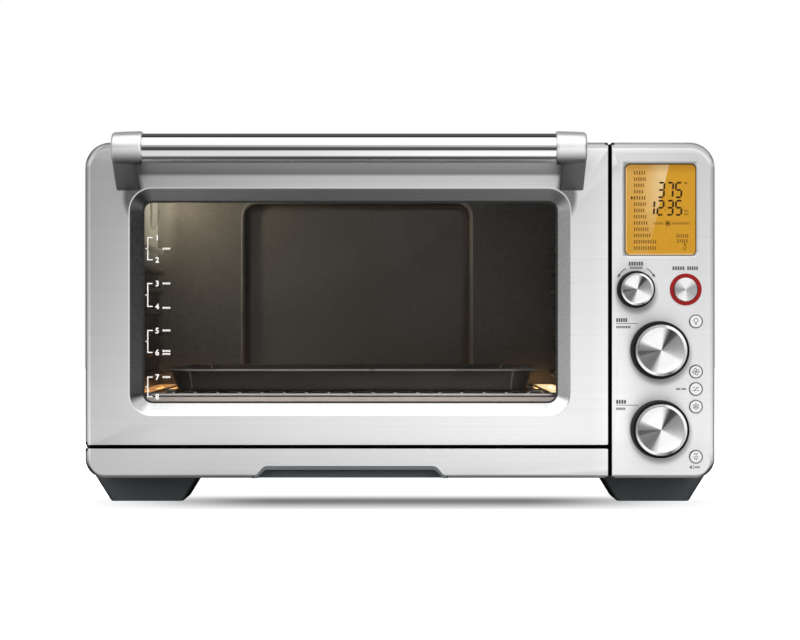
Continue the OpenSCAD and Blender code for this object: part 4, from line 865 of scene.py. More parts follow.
def outline(box, radii, arc=10, side=10):
    """Closed rounded rectangle in a plane: a quarter circle at each corner, straight sides between.

    box is (low u, low v, high u, high v). radii go lower right, upper right, upper left, lower left, or are
    one number for all, and the points run counter-clockwise.
    """
    u0, v0, u1, v1 = box
    r = np.maximum(np.broadcast_to(np.asarray(radii, float), 4), 1e-5)
    centres = np.array([[u1 - r[0], v0 + r[0]], [u1 - r[1], v1 - r[1]], [u0 + r[2], v1 - r[2]],
                        [u0 + r[3], v0 + r[3]]])
    turn = (np.arange(4)[:, None] - 1.0 + np.linspace(0.0, 1.0, arc + 1)[None, :]) * (math.pi / 2)
    arcs = centres[:, None, :] + r[:, None, None] * np.stack([np.cos(turn), np.sin(turn)], -1)
    ahead = np.roll(arcs[:, 0], -1, axis=0)
    share = (np.arange(1, side + 1) / (side + 1))[None, :, None]
    straight = arcs[:, -1, None, :] * (1.0 - share) + ahead[:, None, :] * share
    return np.concatenate([arcs, straight], axis=1).reshape(-1, 2)


def upright(points, y):
    """Plane points (x, z) stood up at depth y."""
    return np.column_stack([points[:, 0], np.full(len(points), y), points[:, 1]])


def level(points, z):
    """Plane points (x, y) laid at height z."""
    return np.column_stack([points[:, 0], points[:, 1], np.full(len(points), z)])


def shrink(box, insets):
    """A box drawn in at the left, low, right and high side, by its own amount or one amount for all."""
    left, low, right, high = np.broadcast_to(insets, 4)
    return (box[0] + left, box[1] + low, box[2] - right, box[3] - high)


def sheet(rows, around=True, ends=False, start_cap=False, end_cap=False, finish_index=0):
    """Quads between neighbouring rows of points.

    rows is an (n, m, 3) array. around joins the last point of a row to its first, ends joins the last row to
    the first, and a cap closes a row with one flat face.
    """
    rows = np.asarray(rows, float)
    n, m = rows.shape[:2]
    a, b = np.meshgrid(np.arange(n if ends else n - 1), np.arange(m if around else m - 1), indexing="ij")
    a2, b2 = (a + 1) % n, (b + 1) % m
    quads = np.stack([a * m + b, a * m + b2, a2 * m + b2, a2 * m + b], -1).reshape(-1, 4)
    faces = quads.tolist()
    if start_cap:
        faces.append(list(range(m)))
    if end_cap:
        faces.append(list(range((n - 1) * m, n * m)))
    return rows.reshape(-1, 3), faces, finish_index


def loft(rows, finish_index=0):
    """Closed solid through rows of points, with a flat cap on the first and the last."""
    return sheet(np.stack(rows), True, False, True, True, finish_index)


def two_tone(rows, first, last):
    """Closed solid through rows of points, whose bands from first up to last take the second finish."""
    points, faces, _ = loft(rows)
    band = np.arange(len(faces)) // len(rows[0])
    return points, faces, ((band >= first) & (band < last)).astype(int).tolist()


def slab(points, y0, y1):
    """Flat outline (x, z) given thickness from depth y0 to y1."""
    return loft([upright(points, y0), upright(points, y1)])


def ribbon(path, width, y0, y1, closed=False):
    """Line of even width along a plane path, given thickness: a four-point section carried along it.

    The section's sideways direction is the normal of the path, lengthened at bends so the width stays even.
    """
    path = np.asarray(path, float)
    ahead = np.roll(path, -1, axis=0) - path
    back = np.roll(ahead, 1, axis=0)
    if not closed:
        ahead[-1] = back[-1]
        back[0] = ahead[0]
    unit_a = ahead / np.linalg.norm(ahead, axis=1, keepdims=True)
    unit_b = back / np.linalg.norm(back, axis=1, keepdims=True)
    way = unit_a + unit_b
    way /= np.maximum(np.linalg.norm(way, axis=1, keepdims=True), 1e-9)
    normal = np.column_stack([-way[:, 1], way[:, 0]])
    reach = width / 2 / np.maximum((way * unit_a).sum(1), 0.4)[:, None]
    left, right = path + normal * reach, path - normal * reach
    section = np.stack([upright(left, y0), upright(right, y0), upright(right, y1), upright(left, y1)],
                       axis=1)
    return sheet(section, True, closed, not closed, not closed)


def arc_path(centre, radius, start, end, steps=24):
    """Points along a circle from one angle to another, in degrees."""
    turn = np.radians(np.linspace(start, end, steps + 1))
    return np.column_stack([centre[0] + radius * np.cos(turn), centre[1] + radius * np.sin(turn)])


def lathe(centre, profile, steps=96, finish_index=0, start_cap=False, end_cap=False):
    """Profile of (radius, y) turned about an axis along y through centre (x, z)."""
    profile = np.asarray(profile, float)
    turn = np.linspace(0.0, 2 * math.pi, steps, endpoint=False)
    x = centre[0] + profile[:, 0, None] * np.cos(turn)
    z = centre[1] + profile[:, 0, None] * np.sin(turn)
    y = np.broadcast_to(profile[:, 1, None], x.shape)
    return sheet(np.stack([x, y, z], -1), True, False, start_cap, end_cap, finish_index)


def front_box(low, high):
    """Limits of a box seen from the front: low x, low z, high x, high z."""
    return (low.x, low.z, high.x, high.z)


def axis_of(node):
    """The x and z of a dial's or button's axis."""
    spot = middle(node)
    return (spot.x, spot.z)


def stand(name, data):
    """New object for some data, linked to the scene."""
    item = bpy.data.objects.new(name, data)
    bpy.context.scene.collection.objects.link(item)
    return item


def read(items, key, width=1, kind=float):
    """One value of each point, corner or face of a mesh, as rows of an array."""
    values = np.empty(len(items) * width, kind)
    items.foreach_get(key, values)
    return values.reshape(-1, width) if width > 1 else values


def make_piece(name, parts, makers, body, replaced=(), crease=CREASE):
    """One object from grids: joins them, merges shared points, turns faces out and sets its finishes."""
    points, faces, indices, count = [], [], [], 0
    for part_points, part_faces, index in parts:
        points.append(part_points)
        faces.extend([[corner + count for corner in face] for face in part_faces])
        indices.extend(index if isinstance(index, list) else [index] * len(part_faces))
        count += len(part_points)
    mesh = bpy.data.meshes.new(name)
    mesh.from_pydata(np.concatenate(points).tolist(), [], faces)
    mesh.polygons.foreach_set("material_index", indices)
    piece = stand(name, mesh)
    settle(mesh, crease)
    for maker in makers:
        mesh.materials.append(finish(maker))
    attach(piece, body)
    if replaced:
        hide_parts(*replaced)
    return piece


def smooth(mesh, crease):
    """Shade a mesh smooth up to a crease angle."""
    mesh.polygons.foreach_set("use_smooth", np.ones(len(mesh.polygons), bool))
    mesh.set_sharp_from_angle(angle=math.radians(crease))


def settle(mesh, crease):
    """Merge doubled points, turn faces outwards and shade smooth up to a crease angle."""
    work = bmesh.new()
    work.from_mesh(mesh)
    bmesh.ops.remove_doubles(work, verts=work.verts, dist=2e-7)
    bmesh.ops.recalc_face_normals(work, faces=work.faces)
    work.to_mesh(mesh)
    work.free()
    smooth(mesh, crease)


def spin_map(piece, centre):
    """UV map of a turned piece: u is the turn about the axis at centre (x, z), v the distance from it."""
    mesh = piece.data
    spots = read(mesh.vertices, "co", 3)[read(mesh.loops, "vertex_index", kind=int)]
    mids = np.repeat(read(mesh.polygons, "center", 3), read(mesh.polygons, "loop_total", kind=int), axis=0)
    turn, mid_turn = (np.arctan2(at[:, 2] - centre[1], at[:, 0] - centre[0]) / (2 * math.pi)
                      for at in (spots, mids))
    turn = turn - np.round(turn - mid_turn)
    turn = np.where(mid_turn < 0, turn + 1.0, turn)
    away = np.hypot(spots[:, 0] - centre[0], spots[:, 2] - centre[1])
    layer = mesh.uv_layers.new(name="spin")
    layer.data.foreach_set("uv", np.column_stack([turn, away]).ravel())


def carve(piece, cutters):
    """Take closed grids out of a piece, one after another."""
    helpers = []
    for points, faces, _ in cutters:
        mesh = bpy.data.meshes.new("cutter")
        mesh.from_pydata(points.tolist(), [], faces)
        settle(mesh, CREASE)
        helpers.append(stand("cutter", mesh))
        step = piece.modifiers.new("cut", "BOOLEAN")
        step.operation, step.solver, step.object = "DIFFERENCE", "EXACT", helpers[-1]
    seen = piece.evaluated_get(bpy.context.evaluated_depsgraph_get())
    carved = bpy.data.meshes.new_from_object(seen)
    piece.modifiers.clear()
    piece.data = carved
    for helper in helpers:
        bpy.data.objects.remove(helper)
    smooth(carved, CREASE)


def quarter(count):
    """Shares 1 - cos t and 1 - sin t at even steps of t over a quarter turn."""
    turn = np.linspace(0.0, math.pi / 2, count)
    return list(zip(1.0 - np.cos(turn), 1.0 - np.sin(turn)))


def edge_rows(box, radii, edges, front, steps=8, offset=0.0):
    """Rows that turn from the side walls to the front face.

    Over a quarter turn t each side draws in by its own edge radius times 1 - cos t, while the depth falls by
    the largest edge radius times 1 - sin t. offset draws the whole edge in, for the inner side of the sheet.
    """
    depth = max(edges)
    drawn = np.array(edges)
    reach = np.array([max(drawn[2], drawn[1]), max(drawn[2], drawn[3]), max(drawn[0], drawn[3]),
                      max(drawn[0], drawn[1])])
    rows = []
    for inward, back in quarter(steps + 1):
        corner = np.asarray(radii) - reach * inward - offset
        ring = outline(shrink(box, drawn * inward + offset), corner)
        rows.append(upright(ring, front + offset + depth * back))
    return rows


def hole_rows(box, radius, width, depth, lip, front, steps=6):
    """Rows that turn from the front face into a sloped frame round an opening.

    A circle of the lip's radius rolls the face over to the slope's angle, then the slope runs straight to
    the opening's own outline at its full depth.
    """
    angle = math.atan2(depth, width)
    start = lip * math.tan(angle / 2)
    rows = []
    for a in np.linspace(0.0, angle, steps + 1):
        spare = width + start - lip * math.sin(a)
        y = front + lip * (1.0 - math.cos(a))
        rows.append(upright(outline(shrink(box, -spare), radius + spare), y))
    rows.append(upright(outline(box, radius), front + depth))
    return rows


def pressed_front(box, radii, edges, hole, front, back, thick):
    """Closed shell of a pressed panel with one framed opening.

    Rows run from the back edge of the side walls round the outer edge, over the face and down the opening's
    slope, then return along the inner side of the sheet to where they began. hole is (box, radius, slope
    width, slope depth, lip radius, lip depth).
    """
    opening, radius, width, depth, lip, brink = hole
    outer = edge_rows(box, radii, edges, front)
    rows = [upright(outline(box, radii), back)] + outer
    rows += hole_rows(opening, radius, width, depth, lip, front)
    rows.append(upright(outline(opening, radius), front + depth + brink))
    rows.append(upright(outline(shrink(opening, -thick), radius + thick), front + depth + brink))
    spare = width + thick * 0.6
    rows.append(upright(outline(shrink(opening, -spare), radius + spare), front + thick))
    rows += edge_rows(box, radii, edges, front, offset=thick)[::-1]
    rows.append(upright(outline(shrink(box, thick), np.asarray(radii) - thick), back))
    rows = np.stack(rows)
    points, faces, _ = sheet(rows, True, True)
    turned = len(outer) + 1
    row_of = np.arange(len(faces)) // rows.shape[1]
    # Bands on the slope take the second finish, with its painted reflection; the first two bands of the lip
    # take the third, a painted highlight line.
    finishes = ((row_of >= turned + 2) & (row_of < turned + 8)).astype(int)
    finishes[(row_of >= turned) & (row_of < turned + 2)] = 2
    return points, faces, finishes.tolist()


class OVEN_OT_door(bpy.types.Operator):
    """Pressed door skin with its rounded outer edge and the sloped frame round the window"""

    bl_idname = "oven.door"
    bl_label = "Door skin"

    def execute(self, context):
        """Make the skin, cut the hinge notches and set it on the door."""
        size = shapes()
        box = front_box(DOOR_LOW, DOOR_HIGH)
        edges = (size.edge_radius, size.seam_radius, size.seam_radius, size.edge_radius)
        radii = (SQUARE, SQUARE, size.corner_radius, SQUARE)
        centre = middle("door_glass")
        half_w, half_h = size.window_width / 2, size.window_height / 2
        opening = (centre.x - half_w, centre.z - half_h, centre.x + half_w, centre.z + half_h)
        hole = (opening, size.window_radius, size.bevel_width, size.bevel_depth, size.lip_radius,
                size.sheet)
        shell = pressed_front(box, radii, edges, hole, FRONT, DOOR_HIGH.y, size.sheet)
        piece = make_piece("door_front", [shell], [front_steel, slope_steel, lip_steel], "door",
                           ["door_skin"])
        carve(piece, hinge_notches())
        return {"FINISHED"}


def hinge_notches():
    """Blocks at both hinge brackets, where the skin's lower wall is open for the hinge arms."""
    low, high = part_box("hinge_brackets")
    middle_x = (low.x + high.x) / 2
    blocks = []
    for side in (-1.0, 1.0):
        x = middle_x + side * (high.x - middle_x - 4.0 * MM)
        corners = outline((x - 7.0 * MM, DOOR_LOW.z - 2.0 * MM, x + 7.0 * MM, DOOR_LOW.z + 3.0 * MM),
                          0.5 * MM, 2, 1)
        blocks.append(slab(corners, FRONT + 1.3 * MM, DOOR_HIGH.y + 2.0 * MM))
    return blocks


class OVEN_OT_control_panel(bpy.types.Operator):
    """Pressed control panel with its framed display opening and the holes of the dials and buttons"""

    bl_idname = "oven.control_panel"
    bl_label = "Control panel"

    def execute(self, context):
        """Make the panel and cut the round holes."""
        size = shapes()
        box = front_box(PANEL_LOW, PANEL_HIGH)
        edges = (size.seam_radius, size.under_radius, size.edge_radius, size.edge_radius)
        radii = (size.foot_radius, size.corner_radius, SQUARE, SQUARE)
        opening = front_box(LENS_LOW, LENS_HIGH)
        hole = (opening, DISPLAY_CORNER, 2.4 * MM, 1.3 * MM, 0.5 * MM, size.sheet)
        shell = pressed_front(box, radii, edges, hole, FRONT, PANEL_HIGH.y, size.sheet)
        piece = make_piece("panel_front", [shell], [front_steel] * 3, "oven",
                           ["control_panel"])
        holes = [(node, DIAL_HOLE) for node in DIALS] + [("start_ring", START_HOLE)]
        holes += [(node, KEY_HOLE) for node in KEYS]
        ends = (FRONT - 3 * MM, FRONT + 6 * MM)
        cutters = [lathe(axis_of(node), [(radius, y) for y in ends], 64, 0, True, True)
                   for node, radius in holes]
        carve(piece, cutters)
        return {"FINISHED"}


class OVEN_OT_drawer(bpy.types.Operator):
    """Drawer front with its rounded left edge, and the moulded grip in its notch"""

    bl_idname = "oven.drawer"
    bl_label = "Drawer front and grip"

    def execute(self, context):
        """Make the front, cut the notch and set the grip into it."""
        size = shapes()
        box = front_box(DRAWER_LOW, DRAWER_HIGH)
        edges = (size.edge_radius, size.under_radius, size.seam_radius, size.seam_radius)
        radii = (SQUARE, SQUARE, SQUARE, size.foot_radius)
        inside = np.maximum(np.asarray(radii) - size.sheet, 0.8 * MM)
        outer = edge_rows(box, radii, edges, FRONT)[::-1]
        outer.append(upright(outline(box, radii), DRAWER_HIGH.y))
        inner = [upright(outline(shrink(box, size.sheet), inside), DRAWER_HIGH.y)]
        inner += edge_rows(box, radii, edges, FRONT, offset=size.sheet)
        shell = loft(outer + inner)
        piece = make_piece("drawer_front", [shell], [front_steel], "drawer", ["tray_front"])
        low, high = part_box("tray_grip")
        notch = self.trapezoid(low, high, -0.2 * MM, closed=True)
        carve(piece, [slab(notch, FRONT - 2 * MM, DRAWER_HIGH.y + 2 * MM)])
        self.grip(low, high)
        # Painted shade: a black block set in the left end of the seam between door and drawer, behind the
        # front.
        gap = (DOOR_LOW.x + 0.2 * MM, DRAWER_HIGH.z + 0.2 * MM, DOOR_LOW.x + 4.0 * MM,
               DOOR_LOW.z - 0.4 * MM)
        stop = slab(outline(gap, 0.4 * MM, 3, 3), FRONT + 11.6 * MM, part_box("front_frame")[0].y)
        make_piece("seam_shade_block", [stop], [black_rubber], "oven")
        return {"FINISHED"}

    @staticmethod
    def trapezoid(low, high, inset, closed=False, steps=8):
        """Outline of the grip: up the left slope, round, along the top, round and down the right slope."""
        slope = 11.0 * MM
        radius = max(7.5 * MM - inset, 1.2 * MM)
        foot = (high.x - low.x) / 2 - inset * 1.25
        height = high.z - low.z - inset
        lean = math.atan2(high.z - low.z, slope)
        top = foot - height / math.tan(lean)
        centre_x = (low.x + high.x) / 2
        shift = radius * math.tan(lean / 2)
        turn = np.linspace(0.0, lean, steps + 1)
        arc_x = top - shift + radius * np.sin(turn)
        arc_z = low.z + height - radius + radius * np.cos(turn)
        right = np.column_stack([np.append(arc_x, foot),
                                 np.append(arc_z, low.z - (2 * MM if closed else 0.0))])
        left = right[::-1] * (-1.0, 1.0)
        return np.concatenate([left, right]) + (centre_x, 0.0)

    def grip(self, low, high):
        """Moulded grip: a broad rim that falls into a deep finger recess, closed behind."""
        steps = ((0.0, 0.25), (0.3, 0.0), (3.0, 0.1), (3.4, 0.5), (3.7, 2.6), (3.8, 9.0))
        rows = [upright(self.trapezoid(low, high, inset * MM), FRONT + y * MM) for inset, y in steps]
        rows.insert(0, upright(self.trapezoid(low, high, 0.0), high.y))
        rim = sheet(np.stack(rows), False)
        floor = self.trapezoid(low, high, 3.75 * MM)
        plate = slab(floor, FRONT + 8.8 * MM, FRONT + 10.3 * MM)
        make_piece("drawer_grip", [rim, plate], [slate_plastic], "drawer", ["tray_grip"])


class OVEN_OT_handle(bpy.types.Operator):
    """Cast ends of the door handle: a cap round the tube and an arm to the door at each side"""

    bl_idname = "oven.handle"
    bl_label = "Handle"

    def execute(self, context):
        """Make both ends."""
        low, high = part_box("handle_brackets")
        axis = middle("handle_tube")
        parts = []
        for side in (-1.0, 1.0):
            outer = low.x if side < 0 else high.x
            parts += [self.cap(outer, -side, axis, high.z - axis.z),
                      self.arm(outer, -side, axis, low, high)]
        make_piece("handle_ends", parts, [cap_aluminium, shaded_arm_aluminium], "door",
                   ["handle_brackets"], 50.0)
        return {"FINISHED"}

    @staticmethod
    def cap(outer, inward, axis, radius):
        """Cap turned about the tube's axis: domed outer side, slowly widening body, small inner lip."""
        profile = np.array([(0.0, 0.02), (0.10, 5.0), (0.45, 9.5), (0.95, 11.9), (1.5, 12.8), (2.3, 13.4),
                            (3.4, 13.75), (12.0, 14.15), (24.0, 14.5), (25.6, 14.5), (26.4, 14.2),
                            (26.9, 13.5), (27.0, 12.6), (26.0, 12.3), (26.0, 0.02)]) * MM
        profile[:, 1] *= radius / (14.5 * MM)
        turn = np.linspace(0.0, 2 * math.pi, 96, endpoint=False)
        x = np.broadcast_to(outer + inward * profile[:, 0, None], (len(profile), len(turn)))
        y = axis.y + profile[:, 1, None] * np.cos(turn)
        z = axis.z + profile[:, 1, None] * np.sin(turn)
        return loft(np.stack([x, y, z], -1))

    @staticmethod
    def arm(outer, inward, axis, low, high):
        """Arm from the cap to the door: an outline round a circle and the foot, carried along its width.

        The outline is an arc between the two tangents from the circle to the foot's ends. At both sides it
        draws in towards its middle over a small radius.
        """
        radius = 13.2 * MM
        heart = np.array([axis.y, axis.z])
        bottom = np.array([high.y, low.z])
        top = np.array([high.y, low.z + 29.0 * MM])

        def tangent(point, side):
            gap = point - heart
            return math.atan2(gap[1], gap[0]) + side * math.acos(radius / np.linalg.norm(gap))

        turn = np.linspace(tangent(top, 1.0), tangent(bottom, -1.0) + 2 * math.pi, 40)
        ring = heart + radius * np.column_stack([np.cos(turn), np.sin(turn)])
        share = np.linspace(0.0, 1.0, 7)[1:, None]
        profile = np.concatenate([ring, ring[-1] * (1 - share) + bottom * share,
                                  bottom * (1 - share) + top * share])
        centre = np.array([axis.y + (high.y - axis.y) * 0.45, axis.z - 6.0 * MM])
        unit = centre - profile
        unit /= np.linalg.norm(unit, axis=1, keepdims=True)
        unit[profile[:, 0] > high.y - 0.01 * MM, 0] = 0.0
        roll = 1.6 * MM
        rows = []
        for place, way in ((1.0, -1.0), (21.7, 1.0)):
            for drawn, short in quarter(5)[::int(way)]:
                bent = profile + unit * roll * drawn
                along = place * MM - way * roll * short
                rows.append(np.column_stack([np.full(len(bent), outer + inward * along), bent]))
        return loft(rows, 1)


class OVEN_OT_feet(bpy.types.Operator):
    """Four tapered moulded feet"""

    bl_idname = "oven.feet"
    bl_label = "Feet"

    def execute(self, context):
        """Loft each foot from a small rounded rectangle to a large one."""
        low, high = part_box("feet")
        wide, deep, taper = 88.0 * MM, 78.0 * MM, 13.5 * MM
        flare = 2.8 * MM
        sole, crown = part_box("foot_pads")
        rim = taper + 7.0 * MM
        parts, pads = [], []
        for right in (False, True):
            for rear in (False, True):
                span = wide - 34.0 * MM if rear else wide
                x0 = high.x - span if right else low.x - flare
                x1 = high.x + flare if right else low.x + span
                y0 = high.y - deep if rear else low.y
                parts.append(self.foot((x0, y0, x1, y0 + deep), low.z - 1.9 * MM, high.z, taper))
                inner = (x0 + rim, y0 + rim, x1 - rim, y0 + deep - rim)
                pads.append(self.foot(inner, sole.z, crown.z, 0.0))
        make_piece("moulded_feet", parts, [slate_plastic], "oven", ["feet"])
        make_piece("sole_pads", pads, [black_rubber], "oven", ["foot_pads"])
        return {"FINISHED"}

    @staticmethod
    def foot(box, z0, z1, taper):
        """Rows rise from the sole to the top: a small rounded sole edge, then sides that lean out evenly."""
        rows = []
        for share, inset in ((0.0, 0.8), (0.02, 0.3), (0.05, 0.05), (0.09, 0.0), (0.5, 0.0), (1.0, 0.0)):
            draw = taper * (1.0 - share) + inset * MM
            box_now = (box[0] + draw, box[1] + draw * 0.25, box[2] - draw, box[3] - draw * 0.25)
            rows.append(level(outline(box_now, 3.0 * MM), z0 + (z1 - z0) * share))
        return loft(rows)


class OVEN_OT_dials(bpy.types.Operator):
    """The three turned dials"""

    bl_idname = "oven.dials"
    bl_label = "Dials"

    def execute(self, context):
        """Turn each dial: dark side, bright chamfer and spun face."""
        for node, rim in zip(DIALS, (1.9, 2.6, 2.6)):
            body = node.replace("knob", "dial")
            self.dial(node, body, rim * MM, body + "_turned")
        return {"FINISHED"}

    @staticmethod
    def dial(node, body, rim, name):
        """Profile of a dial: shaft, back, side, rolled dark edge, bright chamfer and a dished face."""
        low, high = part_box(node)
        radius = (high.x - low.x) / 2
        front = low.y
        axis = axis_of(node)
        back = min(high.y, FRONT - 0.8 * MM)
        edge = radius * 0.055
        roll = [(radius - edge * inward, front + 0.3 * MM + edge * behind) for inward, behind in quarter(9)]
        stem = [(3.0 * MM, high.y), (3.0 * MM, back)] if high.y > back + MM else []
        side = stem + [(radius, back), (radius + 0.9 * MM, back - 0.8 * MM),
                       (radius + 0.8 * MM, back - 2.0 * MM)] + roll
        brink = radius - radius * 0.085
        hub = brink - rim
        side += [(brink, front + 0.3 * MM)]
        bevel = [(brink, front + 0.3 * MM), (brink - 0.25 * MM, front), (hub + 0.3 * MM, front + 0.10 * MM),
                 (hub, front + 0.45 * MM)]
        face = [(hub, front + 0.45 * MM), (hub - 0.3 * MM, front + 0.40 * MM),
                (hub * 0.7, front + 0.42 * MM), (hub * 0.35, front + 0.43 * MM),
                (hub * 0.08, front + 0.43 * MM), (hub * 0.004, front + 0.43 * MM)]
        parts = [lathe(axis, side, 128, 0, True, False), lathe(axis, bevel, 128, 1),
                 lathe(axis, face, 128, 2, False, True)]
        piece = make_piece(name, parts, [dial_side, dial_rim, dial_face], body, [node], 50.0)
        spin_map(piece, axis)


class OVEN_OT_keys(bpy.types.Operator):
    """Start button and the five small buttons with their pictograms"""

    bl_idname = "oven.keys"
    bl_label = "Buttons"

    def execute(self, context):
        """Turn the caps and print the pictograms on them."""
        self.cap("start_button", "start_key", "start_cap", start_face, "aluminium", 0.9 * MM, True)
        for node, art in zip(KEYS, (self.bulb, self.fan, self.phases, self.flake, self.units)):
            body = node.replace("button", "key")
            self.cap(node, body, node.replace("button", "cap"), key_steel, "key_grey", 0.5 * MM, False)
            spot, top = axis_of(node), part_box(node)[0].y
            ring = arc_path(spot, 5.40 * MM, 0.0, 354.0, 59)
            y0, y1 = top - shapes().print_height * 0.6, top + 0.05 * MM
            parts = art(spot, y0, y1) + [ribbon(ring, 0.78 * MM, y0, y1, True)]
            make_piece(node.replace("button", "sign"), parts, [panel_ink], body)
        return {"FINISHED"}

    @staticmethod
    def cap(node, body, name, maker, slot, edge, spun):
        """Cap turned from its flange to its rolled front edge; the flange sits behind the panel."""
        low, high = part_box(node)
        axis = axis_of(node)
        flange = (high.x - low.x) / 2
        radius = (10.2 if spun else 6.0) * MM
        roll = [(radius - edge * inward, low.y + edge * behind) for inward, behind in quarter(7)]
        shoulder = FRONT + 1.6 * MM
        side = [(radius * 0.5, high.y), (flange * 0.999 if flange > radius * 1.01 else radius, high.y),
                (flange if flange > radius * 1.01 else radius, shoulder), (radius, shoulder)]
        dish = 0.12 * MM if spun else 0.05 * MM
        reach = radius - edge
        face = [(reach, low.y), (reach * 0.7, low.y + dish), (reach * 0.3, low.y + dish * 1.3),
                (reach * 0.01, low.y + dish * 1.3)]
        parts = [lathe(axis, side + roll + face[1:], 72, 0, True, True)]
        piece = make_piece(name, parts, [maker], body, [node], 45.0)
        if spun:
            spin_map(piece, axis)

    @staticmethod
    def bulb(spot, y0, y1):
        """Lamp pictogram: a globe, its neck and two base lines."""
        x, z = spot
        line = 0.55 * MM
        globe = arc_path((x, z + 0.7 * MM), 1.8 * MM, -50.0, 230.0)
        parts = [ribbon(globe, line, y0, y1)]
        for drop, half in ((-1.15, 0.95), (-1.95, 0.85), (-2.65, 0.45)):
            bar = [(x - half * MM, z + drop * MM), (x + half * MM, z + drop * MM)]
            parts.append(ribbon(bar, line, y0, y1))
        return parts

    @staticmethod
    def fan(spot, y0, y1):
        """Fan pictogram: four curved blades round a hub."""
        x, z = spot
        parts = []
        for turn in (20.0, 110.0, 200.0, 290.0):
            base = math.radians(turn)
            hub = (x + 1.55 * MM * math.cos(base), z + 1.55 * MM * math.sin(base))
            parts.append(ribbon(arc_path(hub, 1.25 * MM, turn - 160.0, turn + 60.0, 14), 0.6 * MM, y0, y1))
        parts.append(slab(arc_path(spot, 0.55 * MM, 0.0, 345.0, 23), y0, y1))
        return parts

    @staticmethod
    def phases(spot, y0, y1):
        """Two-step pictogram: a short bar over a long one with a slanted stroke between."""
        rows = [[(-2.4, 1.3), (-0.9, 1.3)], [(0.2, 1.3), (2.4, 1.3)], [(-2.4, -1.3), (0.4, -1.3)],
                [(1.3, -1.3), (2.4, -1.3)], [(-0.8, -0.45), (0.8, 0.45)]]
        return [ribbon(np.array(row) * MM + spot, 0.6 * MM, y0, y1) for row in rows]

    @staticmethod
    def flake(spot, y0, y1):
        """Snow pictogram: six spokes, each with a pair of barbs."""
        parts = []
        for turn in range(0, 360, 60):
            a = math.radians(turn + 30.0)
            way = np.array([math.cos(a), math.sin(a)])
            parts.append(ribbon(np.array([spot, spot + way * 3.0 * MM]), 0.42 * MM, y0, y1))
            for side in (-1.0, 1.0):
                b = a + side * math.radians(48.0)
                root = spot + way * 1.7 * MM
                barb = np.array([math.cos(b), math.sin(b)])
                parts.append(ribbon(np.array([root, root + barb * 1.1 * MM]), 0.36 * MM, y0, y1))
        return parts

    @staticmethod
    def units(spot, y0, y1):
        """Unit pictogram: a level divider with a degree ring and a short stroke over and under it."""
        x, z = spot
        parts = [ribbon(np.array([(-2.4, 0.0), (2.4, 0.0)]) * MM + spot, 0.4 * MM, y0, y1)]
        for rise in (1.9, -2.1):
            ring = arc_path((x - 0.9 * MM, z + (rise + 0.4) * MM), 0.5 * MM, 0.0, 340.0, 17)
            parts.append(ribbon(ring, 0.4 * MM, y0, y1, True))
            hook = np.array([(1.6, rise + 0.8), (0.6, rise + 0.8), (0.6, rise - 0.8)]) * MM + spot
            parts.append(ribbon(hook, 0.5 * MM, y0, y1))
        return parts


SEGMENTS = {"0": "abcdef", "1": "bc", "2": "abged", "3": "abgcd", "4": "fgbc", "5": "afgcd", "6": "afgedc",
            "7": "abc", "8": "abcdefg", "9": "abcdfg"}


def digit_bars(figure, corner, size, y0, y1):
    """Seven-segment figure: pointed bars on a box of width and height, leaning a little to the right."""
    width, height = size
    thick = width * 0.33
    ends = {"a": ((0, 1), (1, 1)), "b": ((1, 0.5), (1, 1)), "c": ((1, 0), (1, 0.5)), "d": ((0, 0), (1, 0)),
            "e": ((0, 0), (0, 0.5)), "f": ((0, 0.5), (0, 1)), "g": ((0, 0.5), (1, 0.5))}
    parts = []
    for key in SEGMENTS[figure]:
        a, b = (np.array(end, float) * (width, height) for end in ends[key])
        way = (b - a) / np.linalg.norm(b - a)
        a, b = a + way * thick * 0.12, b - way * thick * 0.12
        out = np.array([-way[1], way[0]]) * thick / 2
        tip = way * thick / 2
        bar = np.stack([a, a + tip - out, b - tip - out, b, b - tip + out, a + tip + out])
        bar[:, 0] += bar[:, 1] * 0.06
        parts.append(slab(bar + corner, y0, y1))
    return parts


def letters(spot, first, last, rise, tall, y0, y1, pitch=0.0, fill=0.74):
    """Row of plain blocks in the place of a printed word, in millimetres from a spot (x, z).

    It runs from first to last at a rise above the spot. pitch is the step from block to block, or else a
    share of the height is taken, and fill is a block's share of its step.
    """
    start, end = spot[0] + first * MM, spot[0] + last * MM
    height, middle_z = tall * MM, spot[1] + rise * MM
    pitch = pitch * MM or height * 0.62
    count = max(1, round((end - start) / pitch))
    step = (end - start) / count
    parts = []
    for place in range(count):
        x = start + place * step
        tall = height * (0.5 - 0.03 * (place % 2))
        corners = np.array([(x, middle_z - tall), (x + step * fill, middle_z - tall),
                            (x + step * fill, middle_z + tall), (x, middle_z + tall)])
        parts.append(slab(corners, y0, y1))
    return parts


